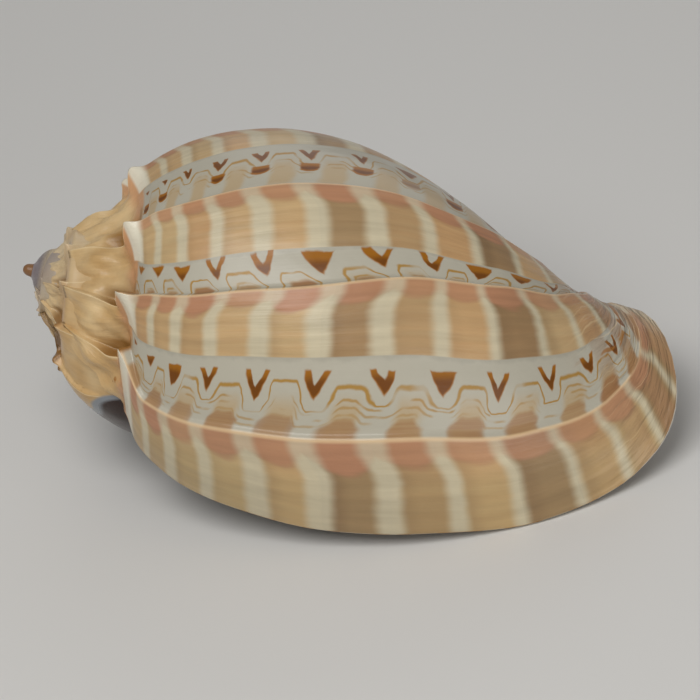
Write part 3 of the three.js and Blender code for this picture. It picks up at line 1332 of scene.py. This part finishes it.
    def _chevrons(self, gap: GapSpot, colour: Socket) -> Socket:
        """Gold chevrons with dark hearts that hang from the older rib, some of them filled.

        Args:
            gap: The spot and its place among the gap's marks.
            colour: The colour below.

        Returns:
            The colour with the chevrons on it.
        """
        g, s = gap.g, gap.spot
        arms = self.arm_reach[0] + self.arm_reach[1] * gap.kind
        least, by_room, spread = self.hang
        tip = least + by_room * s.room.least(1.1) + spread * gap.size
        tip = tip * (0.5 + 0.5 * s.row.ramp(*self.shoulder_rows))
        depth = tip * (1.0 - (gap.away / arms).power(self.arm_bow)) - gap.since
        top_edge = 0.2 * (s.room - 0.6) + 0.03 * gap.kind
        filled = gap.kind.ramp(*self.filled_draws)
        open_top = 1.0 - (depth - self.stroke_depth - self.filled_depth * filled).ramp(0.0, 0.05)
        mark = depth.ramp(-0.03, 0.035) * gap.since.ramp(top_edge, top_edge + 0.03) * open_top
        colour = g.mix(colour, self.gold, mark)
        low = (gap.since - tip * 0.25).ramp(0.0, 0.14)
        return g.mix(colour, self.heart, mark * low * depth.ramp(0.0, 0.06) * 0.9)

    def _low_marks(self, gap: GapSpot, colour: Socket) -> Socket:
        """A second row of dark marks, low in the widest gaps.

        Args:
            gap: The spot and its place among the gap's marks.
            colour: The colour below.

        Returns:
            The colour with the marks on it.
        """
        g, s = gap.g, gap.spot
        tip = self.low_tip[0] + self.low_tip[1] * gap.size - gap.since
        lower = tip - self.low_bow * gap.away * gap.away
        mark = lower.ramp(0.0, 0.03) * gap.since.ramp(*self.low_top)
        mark = mark * (1.0 - gap.away.ramp(*self.low_half))
        mark = mark * s.room.ramp(*self.wide_room) * gap.size.ramp(*self.low_draws)
        colour = g.mix(colour, self.gold, mark)
        return g.mix(colour, self.heart, mark * lower.ramp(0.03, 0.1) * gap.since.ramp(0.62, 0.72))


@dataclass(frozen=True)
class FrontEnd:
    """The front end: the pattern breaks up into long brown specks between cream growth lines."""

    pink_brown: Colour = RibBands.pink_brown
    dusky: Colour = RibBands.dusky
    block: Colour = GapMarks.block
    gold: Colour = GapMarks.gold
    cream: Colour = paint("e6cd9f")
    rows: Bounds = (11.5, 12.6)
    speck_end: Bounds = (14.0, 13.2)
    specks_per_turn: float = 70.0
    lines_per_turn: float = 230.0
    stripe_edge: Bounds = (0.14, 0.3)
    rib_shares: tuple = (0.35, 0.6)
    gap_share: float = 0.5
    line_share: float = 0.75

    def lay(self, s: Spot, colour: Socket) -> Socket:
        """Lays the front end's marks over the pattern.

        Args:
            s: The spot.
            colour: The colour below.

        Returns:
            The new colour.
        """
        g = s.g
        front = s.row.ramp(*self.rows)
        bend = g.noise(g.point(s.row * 1.1, s.stage * 9.0, 0.0), 1.6)
        specks = g.noise(g.point(s.row * 1.3, s.stage * self.specks_per_turn + bend, 2.0), 1.2)
        combed = s.stage * self.lines_per_turn + 4.0 * bend
        lines = g.noise(g.point(s.row * 0.3, combed, 8.0), 1.0)
        between = abs(s.off()).ramp(*self.stripe_edge)
        on_rib = front * between * (1.0 - s.in_gap)
        colour = g.mix(colour, self.pink_brown, on_rib * self.rib_shares[0])
        colour = g.mix(colour, self.dusky, on_rib * bend.ramp(0.0, 0.5) * self.rib_shares[1])
        colour = g.mix(colour, self.block, front * between * s.in_gap * self.gap_share)
        specks = specks.ramp(0.22, 0.36) * front * s.in_gap * s.row.ramp(*self.speck_end)
        colour = g.mix(colour, self.gold, specks)
        return g.mix(colour, self.cream, lines.ramp(0.2, 0.5) * front * self.line_share)


@dataclass(frozen=True)
class PlainSpire:
    """Plain tan ramp with painted gold-brown shade in its hollows, a painted cream highlight along the rib
    crests, pale growth lines and greyer early whorls.
    """

    tan: Colour = PolishedInside.tan
    cream: Colour = FrontEnd.cream
    pink: Colour = paint("c98d63")
    # Painted shade: gold-brown for the ramp's hollows between the ribs.
    hollow_shade: Colour = paint("8a5f28")
    stain_gold: Colour = GapMarks.gold
    grey: Colour = paint("bdb29c")
    first_purple: Colour = paint("8c8284")
    tip: Colour = paint("86603e")
    shoulder_white: Colour = paint("e6dec8")
    stain_stages: Bounds = (-0.05, -0.03, -0.006, 0.0)
    stain_rows: Bounds = (1.4, 1.8, 2.8, 3.2)
    grey_stages: Bounds = (-1.6, -0.95)
    purple_stages: Bounds = (-2.55, -1.85)
    tip_stages: Bounds = (-3.2, -3.1)
    shoulder_rows: Bounds = (4.05, 4.35)
    last_turn: Bounds = (-0.93, -0.91)
    crest_places: Bounds = (0.94, 1.0)
    crest_rows: Bounds = (3.72, 3.95, 4.5, 4.95)
    crest_share: float = 0.95
    cloud_share: float = 0.75
    pink_rows: Bounds = (2.6, 3.6, 4.6, 5.2)
    pink_stages: Bounds = (-0.62, -0.5)
    pink_shares: tuple = (0.15, 0.55)
    hollow_rows: Bounds = (1.2, 2.4, 4.0, 4.5)
    hollow_shade_share: float = 0.9
    lines_per_turn: float = 150.0
    line_gain: float = 0.12
    # Width and share of the painted cream highlight along the ramp's rib crests.
    edge_width: float = 0.07
    crest_highlight_share: float = 0.85

    def lay(self, s: Spot, colour: Socket) -> Socket:
        """Lays the plain ramp and the early whorls over the pattern.

        Args:
            s: The spot.
            colour: The colour below.

        Returns:
            The new colour.
        """
        g = s.g
        cloud = g.noise(g.place(), 300.0, 3.0)
        on_last_turn = s.stage.ramp(*self.last_turn)
        bare = (1.0 - (s.row + 0.15 * cloud).ramp(*self.shoulder_rows)).most(1.0 - on_last_turn)
        colour = g.mix(colour, self._early(s, self._ramp(s, cloud), cloud), bare)
        crest = 1.0 - s.face.ramp(*self.crest_places)
        crest = crest * (1.0 - (s.row + 0.1 * cloud).ramp(*self.crest_rows[2:]))
        crest = crest * s.row.ramp(*self.crest_rows[:2])
        return g.mix(colour, self.shoulder_white, crest * on_last_turn * self.crest_share)

    def _ramp(self, s: Spot, cloud: Value) -> Socket:
        """The ramp above the shoulder.

        Args:
            s: The spot.
            cloud: Fine cloudy noise.

        Returns:
            Tan and cream, pink by the newest shoulder, painted gold-brown shade in the hollows and a
            painted cream highlight along the crests.
        """
        g = s.g
        broad = g.noise(g.place(), 110.0)
        plain = g.mix(self.tan, self.cream, (0.6 * cloud + broad).ramp(-0.5, 0.7) * self.cloud_share)
        newest = s.stage.ramp(*self.pink_stages)
        pink = s.row.hump(self.pink_rows) * (self.pink_shares[0] + self.pink_shares[1] * newest)
        plain = g.mix(plain, self.pink, pink)
        # Painted shade: gold-brown laid in the ramp's hollows, strongest towards the newer rib's crest.
        shaded_hollow = s.in_gap * (s.since - s.room * 0.3).ramp(0.0, 0.3) * s.row.ramp(*self.hollow_rows[:2])
        shaded_hollow = shaded_hollow * (1.0 - s.row.ramp(*self.hollow_rows[2:])) * self.hollow_shade_share
        plain = g.mix(plain, self.hollow_shade, shaded_hollow)
        stain = g.noise(g.place(), 900.0).ramp(0.3, 0.45) * s.stage.hump(self.stain_stages)
        plain = g.mix(plain, self.stain_gold, stain * s.row.hump(self.stain_rows))
        lines = g.noise(g.point(s.row * 0.5, s.stage * self.lines_per_turn, 3.0), 1.0, 3.0)
        plain = g.shade(plain, 1.0 + self.line_gain * lines)
        # Painted highlight: cream along each rib's crest on the ramp, with pale growth lines mixed in at
        # half strength.
        edge = (1.0 - s.face.ramp(0.0, self.edge_width)).most(lines.ramp(0.4, 0.65) * 0.5)
        return g.mix(plain, self.cream, edge * self.crest_highlight_share)

    def _early(self, s: Spot, plain: Socket, cloud: Value) -> Socket:
        """The early whorls, from grey over purple-grey to the brown tip.

        Args:
            s: The spot.
            plain: Colour of the ramp.
            cloud: Fine cloudy noise.

        Returns:
            The new colour.
        """
        g = s.g
        plain = g.mix(plain, self.grey, (1.0 - s.stage.ramp(*self.grey_stages)) * (0.6 + 0.4 * cloud))
        purple = 1.0 - (s.stage + 0.06 * cloud).ramp(*self.purple_stages)
        plain = g.mix(plain, self.first_purple, purple)
        return g.mix(plain, self.tip, 1.0 - s.stage.ramp(*self.tip_stages))


@dataclass(frozen=True)
class InnerLipGlaze:
    """Glaze of the inner lip: a painted blue-grey sheen at its thin edge, then dark chestnut, and cream by
    the pillar.
    """

    chestnut: Colour = paint("2a130a")
    blue_grey_sheen: Colour = paint("8b9096")
    sheen_bounds: Bounds = (0.12, 0.3)
    thick_bounds: Bounds = (0.45, 0.75)
    pillar_rows: Bounds = (12.5, 13.3)
    pillar_stages: Bounds = (-0.3, -0.16)
    canal_rows: Bounds = (13.1, 13.7)

    def lay(self, s: Spot, colour: Socket) -> Socket:
        """Lays the glaze over the pattern.

        Args:
            s: The spot.
            colour: The colour below.

        Returns:
            The new colour.
        """
        g = s.g
        patch = g.noise(g.place(), 70.0, 3.0)
        # Painted reflection: a blue-grey sheen over the glaze's thin edge, under the dark chestnut.
        colour = g.mix(colour, self.blue_grey_sheen, (s.glaze + 0.1 * patch).ramp(*self.sheen_bounds))
        colour = g.mix(colour, self.chestnut, (s.glaze + 0.12 * patch).ramp(*self.thick_bounds))
        by_pillar = (s.row + 0.3 * patch).ramp(*self.pillar_rows)
        by_pillar = by_pillar * (1.0 - s.stage.ramp(*self.pillar_stages))
        by_pillar = by_pillar.most((s.row + 0.2 * patch).ramp(*self.canal_rows))
        return g.mix(colour, PillarGlaze.porcelain, by_pillar)


@dataclass(frozen=True)
class PatternedShell:
    """The outside: banded ribs and marked gaps, with the plain spire, front end and glaze over them."""

    ribs: RibBands = RibBands()
    gaps: GapMarks = GapMarks()
    layers: tuple = (FrontEnd(), PlainSpire(), InnerLipGlaze())
    gloss: Gloss = Gloss(coat=0.18, coat_roughness=0.16, specular=0.3)
    roughness: float = 0.34
    glaze_polish: float = 0.12
    streak_depth: float = 0.000035
    coarse_depth: float = 0.00012
    fold_depth: float = 0.0005
    fold_rows: Bounds = (11.2, 12.7)
    ramp_rows: Bounds = (3.4, 4.1)
    ramp_folds: float = 0.15

    def material(self) -> bpy.types.Material:
        """Builds the material.

        Returns:
            The material.
        """
        g = Graph("patterned_shell")
        s = Spot(g)
        colour = g.mix(self.ribs.colour(s), self.gaps.colour(s), s.in_gap)
        for layer in self.layers:
            colour = layer.lay(s, colour)
        coarse = g.noise(g.place(), 160.0, 3.0)
        roughness = self.roughness + 0.05 * coarse - self.glaze_polish * s.glaze
        streaks = s.grain(0.5, 14.0, 1.0, 3.0) * (1.0 - s.in_gap * 0.7) * (1.0 - s.glaze)
        folded = s.row.ramp(*self.fold_rows) + self.ramp_folds * (1.0 - s.row.ramp(*self.ramp_rows))
        folds = g.noise(g.point(s.row * 1.3, s.stage * 80.0, 3.0), 1.0, 3.0) * folded
        bumps = [
            Bump(streaks, self.streak_depth),
            Bump(coarse, self.coarse_depth),
            Bump(folds, self.fold_depth),
        ]
        return g.finish(colour, roughness, self.gloss, bumps)


@dataclass(frozen=True)
class FloorPaint:
    """Plain pale floor."""

    tint: Colour = paint("d9d7d3")
    roughness: float = 0.6

    def material(self) -> bpy.types.Material:
        """Builds the material.

        Returns:
            The material.
        """
        g = Graph("pale_floor")
        plug(g.tree, self.tint, g.shader.inputs["Base Color"])
        plug(g.tree, self.roughness, g.shader.inputs["Roughness"])
        return g.material


# Pieces


@dataclass
class Sheet:
    """A grid of points with numbers on them, made into a mesh."""

    name: str
    points: np.ndarray
    numbers: dict[str, np.ndarray]
    map_name: str = "OFBake"
    map_margin: float = 0.005
    least_step: float = 1e-6

    def build(self) -> bpy.types.Object:
        """Makes the mesh object, smooth, with its map laid out by real lengths.

        Returns:
            The object, linked to the scene.
        """
        across, down = self.points.shape[:2]
        index = np.arange(across * down).reshape(across, down)
        a, b = index[:-1, :-1].ravel(), index[1:, :-1].ravel()
        c, d = index[1:, 1:].ravel(), index[:-1, 1:].ravel()
        mesh = bpy.data.meshes.new(self.name)
        mesh.from_pydata(self.points.reshape(-1, 3).tolist(), [], np.stack([a, d, c, b], 1).tolist())
        for name, values in self.numbers.items():
            layer = mesh.attributes.new(name, "FLOAT", "POINT")
            layer.data.foreach_set("value", np.ascontiguousarray(values, np.float32).ravel())
        self._map(mesh)
        mesh.polygons.foreach_set("use_smooth", [True] * len(mesh.polygons))
        mesh.update()
        made = bpy.data.objects.new(self.name, mesh)
        bpy.context.scene.collection.objects.link(made)
        return made

    def _map(self, mesh: bpy.types.Mesh) -> None:
        """Lays the grid out flat inside the unit square.

        Args:
            mesh: The mesh that gets the map.
        """
        places = [self._spread(axis) for axis in (0, 1)]
        grid = np.stack(np.meshgrid(*places, indexing="ij"), -1)
        corners = np.empty(len(mesh.loops), np.int32)
        mesh.loops.foreach_get("vertex_index", corners)
        layer = mesh.uv_layers.new(name=self.map_name)
        layer.data.foreach_set("uv", grid.reshape(-1, 2)[corners].astype(np.float32).ravel())

    def _spread(self, axis: int) -> np.ndarray:
        """Places of the grid's lines on the map, by their mean distance.

        Args:
            axis: 0 for the columns, 1 for the rows.

        Returns:
            Places between the map's margins.
        """
        steps = np.linalg.norm(np.diff(self.points, axis=axis), axis=-1).mean(1 - axis)
        reached = np.concatenate([[0], np.cumsum(steps + self.least_step)])
        return self.map_margin + (1 - 2 * self.map_margin) * reached / reached[-1]


def fit_to_shell(piece: bpy.types.Object, material: bpy.types.Material) -> bpy.types.Object:
    """Gives a piece its material and hangs it on the shell's body in place of the plain solid.

    Args:
        piece: The piece.
        material: Its finish.

    Returns:
        The piece.
    """
    piece.data.materials.append(material)
    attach(piece, BODY)
    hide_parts(NODE)
    log.info("%s: %d faces", piece.name, len(piece.data.polygons))
    return piece


def rounded_edge(
    start: np.ndarray, end: np.ndarray, ahead: np.ndarray, shares: np.ndarray, bulge: float
) -> list[np.ndarray]:
    """Lines of points that round an edge off between two lines.

    Args:
        start: The line on the outside.
        end: The line on the inside.
        ahead: Which way the edge bulges at each point.
        shares: Where the lines lie, from 0 at the start to 1 at the end.
        bulge: Height of the bulge against the wall's thickness.

    Returns:
        One line of points for each share.
    """
    ahead = ahead / np.maximum(np.linalg.norm(ahead, axis=-1, keepdims=True), SHORTEST)
    gap = np.linalg.norm(end - start, axis=-1, keepdims=True)
    return [start + (end - start) * s + ahead * gap * bulge * math.sin(math.pi * s) for s in shares]


@dataclass
class CoilPiece:
    """A piece that follows the growing edge: what the last turn, the lip and the spire share."""

    form: ShellForm
    rest: Rest
    columns: Columns
    stripes: StripeRows = StripeRows()
    callus: CallusReach = CallusReach()
    skirt_rows: tuple = (-1.0, -0.6, -0.25)
    ramp_rows: tuple = (0.0, 3.0)
    ramp_count: int = 16
    shoulder_end: float = 5.4

    def rows_to(self, last: float, on_shoulder: int, on_belly: int) -> np.ndarray:
        """Rows that carry points, from the skirt under the suture on, closest on the shoulder.

        Args:
            last: The last row.
            on_shoulder: Count of rows on the shoulder.
            on_belly: Count of rows from there on.

        Returns:
            The rows.
        """
        ramp = np.linspace(*self.ramp_rows, self.ramp_count)[:-1]
        shoulder = np.linspace(self.ramp_rows[1], self.shoulder_end, on_shoulder)[:-1]
        belly = np.linspace(self.shoulder_end, last, on_belly)
        return np.concatenate([self.skirt_rows, ramp, shoulder, belly])

    def numbers(self, columns: Columns, row: np.ndarray) -> dict[str, np.ndarray]:
        """Numbers that the outside's finish reads.

        Args:
            columns: Columns of the surface.
            row: The row of every point.

        Returns:
            Each number's name and its value for every column and row.
        """
        names = ("stage", "beat", "since", "room", "slant")
        spread = {name: np.broadcast_to(getattr(columns, name)[:, None], row.shape) for name in names}
        cell = self.stripes.count(row) - self.stripes.lean(spread.pop("slant"), row)
        stage = spread["stage"] + self.form.edge.lag.at(row)
        return {**spread, "row": row, "cell": cell, "glaze": self.callus.thickness(stage, row)}


@dataclass
class BodyWhorl(CoilPiece):
    """The last turn: a thick sheet with ribs outside, a polished inside and a rounded front edge."""

    newest: float = 0.0
    oldest: float = -1.02
    last_row: float = 14.0
    on_shoulder: int = 29
    on_belly: int = 72
    edge_rows: int = 5
    edge_bulge: float = 0.45

    def rows(self) -> np.ndarray:
        """Rows of the outside; the inside has as many."""
        return self.rows_to(self.last_row, self.on_shoulder, self.on_belly)

    def build(self) -> bpy.types.Object:
        """Builds the mesh: for each column, points of the outside, the front edge and the inside.

        Returns:
            The object.
        """
        columns, rows = self.columns.part(self.newest, self.oldest), self.rows()
        outer, inner = self.form.outer(columns, rows), self.form.inner(columns, rows)
        shares = np.linspace(0, 1, self.edge_rows + 2)[1:-1]
        ahead = outer[:, -1] - outer[:, -3]
        fold = np.stack(rounded_edge(outer[:, -1], inner[:, -1], ahead, shares, self.edge_bulge), 1)
        points = np.concatenate([outer, fold, inner[:, ::-1]], 1)
        row = np.concatenate([rows, np.full(self.edge_rows, rows[-1]), rows[::-1]])
        inside = np.concatenate([0 * rows, np.linspace(0.2, 0.8, self.edge_rows), 0 * rows + 1])
        numbers = self.numbers(columns, np.broadcast_to(row, points.shape[:2]))
        numbers["glaze"] = numbers["glaze"] * (1 - inside)
        return Sheet("body_whorl", self.rest.lay(points), numbers).build()

    def dress(self, outside: bpy.types.Material, inside: bpy.types.Material) -> None:
        """Builds the piece and gives each side its finish.

        Args:
            outside: Finish of the outside.
            inside: Finish of the inside and of half the front edge.
        """
        piece = fit_to_shell(self.build(), outside)
        piece.data.materials.append(inside)
        count = len(self.rows())
        down = np.arange(len(piece.data.polygons)) % (2 * count + self.edge_rows - 1)
        side = (down >= count + self.edge_rows // 2).astype(np.int32)
        piece.data.polygons.foreach_set("material_index", side)


@dataclass
class Lip(CoilPiece):
    """The rounded outer lip that closes the last turn's newest edge."""

    steps: int = 7
    bulge: float = 0.32
    foot_beat: float = 1.0

    def dress(self, rows: np.ndarray, material: bpy.types.Material) -> None:
        """Builds the edge between outside and inside and gives it its finish.

        Args:
            rows: Rows of the last turn.
            material: The finish.
        """
        newest = self.columns.part(0.0, self.columns.stage[2])
        outer, inner = self.form.outer(newest, rows), self.form.inner(newest, rows)
        shares = np.linspace(0, 1, self.steps)
        points = np.stack(rounded_edge(outer[0], inner[0], outer[0] - outer[2], shares, self.bulge), 0)
        row = np.broadcast_to(rows, points.shape[:2])
        numbers = {"cell": self.stripes.count(row), "row": row, "beat": np.full(row.shape, self.foot_beat)}
        fit_to_shell(Sheet("outer_lip", self.rest.lay(points), numbers).build(), material)


@dataclass
class Spire(CoilPiece):
    """The older whorls, as far as they show above the last one and inside the mouth."""

    newest: float = -0.98
    oldest: float = -3.0
    last_row: float = 12.5
    on_shoulder: int = 25
    on_belly: int = 36

    def dress(self, material: bpy.types.Material) -> None:
        """Builds the piece and gives it its finish.

        Args:
            material: The finish.
        """
        columns = self.columns.part(self.newest, self.oldest)
        rows = self.rows_to(self.last_row, self.on_shoulder, self.on_belly)
        points = self.form.outer(columns, rows)
        numbers = self.numbers(columns, np.broadcast_to(rows, points.shape[:2]))
        fit_to_shell(Sheet("spire", self.rest.lay(points), numbers).build(), material)


@dataclass
class TurnedPiece:
    """A round piece on the coiling axis.

    A station holds a distance along the axis, a radius and how far the ring is shifted off the axis.
    """

    rest: Rest
    name: str = ""
    stations: tuple = ()
    shift_angle: float = 0.0
    sides: int = 56
    rings: int = 60

    def numbers(self, x: np.ndarray) -> dict[str, np.ndarray]:
        """Numbers that the finish reads, from the distance along the axis."""
        return {"along": x / self.stations[-1][0]}

    def dress(self, material: bpy.types.Material) -> None:
        """Builds the piece and gives it its finish.

        Args:
            material: The finish.
        """
        step = np.linspace(0, len(self.stations) - 1, self.rings)
        along, radius, shift = Spline(self.stations).at(step).T
        radius = np.maximum(radius, 0.0)
        turn = np.linspace(0, 2 * np.pi, self.sides + 1)
        y = radius[:, None] * np.cos(turn) - (shift * math.sin(self.shift_angle))[:, None]
        z = radius[:, None] * np.sin(turn) + (shift * math.cos(self.shift_angle))[:, None]
        x = np.broadcast_to(along[:, None], y.shape)
        points = self.rest.lay(np.stack([x, y, z], -1))
        fit_to_shell(Sheet(self.name, points, self.numbers(x)).build(), material)


@dataclass
class FirstWhorl(TurnedPiece):
    """The blunt first whorl with its brown tip, which grew before the ribs."""

    name: str = "first_whorl"
    stations: tuple = (
        (-1.5, 0, 0),
        (-1.4, 0.36, 0),
        (-1.05, 0.66, 0),
        (-0.6, 0.78, 0),
        (-0.3, 0.86, 0),
        (-0.05, 1.2, 0),
        (0.25, 1.85, 0),
        (0.7, 2.5, 0),
        (1.3, 3.0, 0),
        (2.4, 3.4, 0),
    )
    tip_end: float = -0.3
    tip_stage: float = -3.5
    places: tuple = (0.0, 0.5, 0.9, 1.5)
    stages: tuple = (-2.6, -2.45, -2.25, -2.0)
    gap_beat: float = 1.5

    def numbers(self, x: np.ndarray) -> dict[str, np.ndarray]:
        """Growth stages that give the brown tip and the purple-grey round it."""
        stage = np.where(x < self.tip_end, self.tip_stage, np.interp(x, self.places, self.stages))
        return {"stage": stage, "beat": np.full(x.shape, self.gap_beat)}


@dataclass
class Pillar(TurnedPiece):
    """The pillar that the whorls turn round, bent towards the canal at the front."""

    name: str = "pillar"
    stations: tuple = (
        (-0.2, 0.6, 0),
        (3, 1.1, 0),
        (12, 2, 0),
        (24, 3.4, 0),
        (36, 4.8, 0.3),
        (46, 5.6, 1.4),
        (53, 5.7, 2.6),
        (60, 5.0, 4.3),
        (66, 3.7, 5.8),
        (71, 2.2, 6.9),
        (73.8, 0.8, 7.4),
        (74.2, 0.0, 7.5),
    )
    shift_angle: float = math.radians(220)


# Studio


class Side(Enum):
    """Where a lamp stands, in the photograph's own right, up and towards-the-camera directions."""

    KEY = (-0.35, 0.42, 0.87)
    FILL = (0.6, -0.32, 0.8)
    BACK = (0.1, 0.9, -0.5)


@dataclass
class Studio:
    """Camera at the photograph's angle, soft lamps and the pale floor."""

    rest: Rest
    roll: float = 0.213
    focal: float = 300.0
    sensor: float = 36.0
    clip: tuple = (0.01, 20.0)
    frame_width: float = 85.4
    aim: tuple = (39.88, -1.3, 5.0)
    lamps: dict = field(default_factory=lambda: {Side.KEY: 1.6, Side.FILL: 0.8, Side.BACK: 0.25})
    lamp_size: float = 0.35
    lamp_distance: float = 0.5
    surroundings: float = 0.2
    floor_half: float = 1.5

    def axes(self) -> Matrix:
        """Directions of the camera.

        Returns:
            Its right, up and back directions as columns.
        """
        right = Vector((math.cos(self.roll), math.sin(self.roll), 0))
        up = Vector((-math.sin(self.roll), math.cos(self.roll), 0))
        turn = self.rest.turn()
        return Matrix((turn @ right, turn @ up, turn @ Vector((0, 0, 1)))).transposed()

    def centre(self) -> Vector:
        """The point that the camera looks at, in metres."""
        return Vector(self.rest.lay(np.array(self.aim)))

    def camera(self) -> None:
        """Places the camera."""
        data = bpy.data.cameras.new("camera")
        data.lens, data.sensor_width = self.focal, self.sensor
        data.clip_start, data.clip_end = self.clip
        camera = bpy.data.objects.new("camera", data)
        distance = self.frame_width * MM * self.focal / self.sensor
        axes = self.axes()
        place = self.centre() + axes.col[2] * distance
        camera.matrix_world = Matrix.Translation(place) @ axes.to_4x4()
        bpy.context.scene.collection.objects.link(camera)
        bpy.context.scene.camera = camera

    def light(self) -> None:
        """Places the lamps round the shell and sets the surrounding light."""
        axes, centre = self.axes(), self.centre()
        for side, power in self.lamps.items():
            data = bpy.data.lights.new(side.name.lower(), "AREA")
            data.energy, data.size = power, self.lamp_size
            lamp = bpy.data.objects.new(side.name.lower(), data)
            out = (axes @ Vector(side.value)).normalized()
            lamp.location = centre + out * self.lamp_distance
            lamp.rotation_euler = out.to_track_quat("Z", "Y").to_euler()
            bpy.context.scene.collection.objects.link(lamp)
        bpy.context.scene.view_settings.view_transform = "Standard"
        world = bpy.data.worlds.new("studio")
        bpy.context.scene.world = world
        world.use_nodes = True
        back = world.node_tree.nodes["Background"]
        back.inputs["Color"].default_value = (1.0, 1.0, 1.0, 1.0)
        back.inputs["Strength"].default_value = self.surroundings

    def floor(self) -> None:
        """Lays the floor."""
        mesh = bpy.data.meshes.new("floor")
        half = self.floor_half
        corners = [(-half, -half, 0), (half, -half, 0), (half, half, 0), (-half, half, 0)]
        mesh.from_pydata(corners, [], [(0, 1, 2, 3)])
        floor = bpy.data.objects.new("floor", mesh)
        mesh.materials.append(FloorPaint().material())
        bpy.context.scene.collection.objects.link(floor)


def main() -> None:
    """Builds the shell piece by piece, then the studio."""
    logging.basicConfig(level=logging.INFO, format="%(name)s %(message)s")
    rest, form = Rest(), ShellForm()
    columns = RibSeries().columns()
    patterned, polished = PatternedShell().material(), PolishedInside().material()

    whorl = BodyWhorl(form, rest, columns)
    whorl.dress(patterned, polished)
    Lip(form, rest, columns).dress(whorl.rows(), polished)
    Spire(form, rest, columns).dress(patterned)
    FirstWhorl(rest).dress(patterned)
    Pillar(rest).dress(PillarGlaze().material())

    studio = Studio(rest)
    studio.camera()
    studio.light()
    studio.floor()


if __name__ == "__main__":
    main()
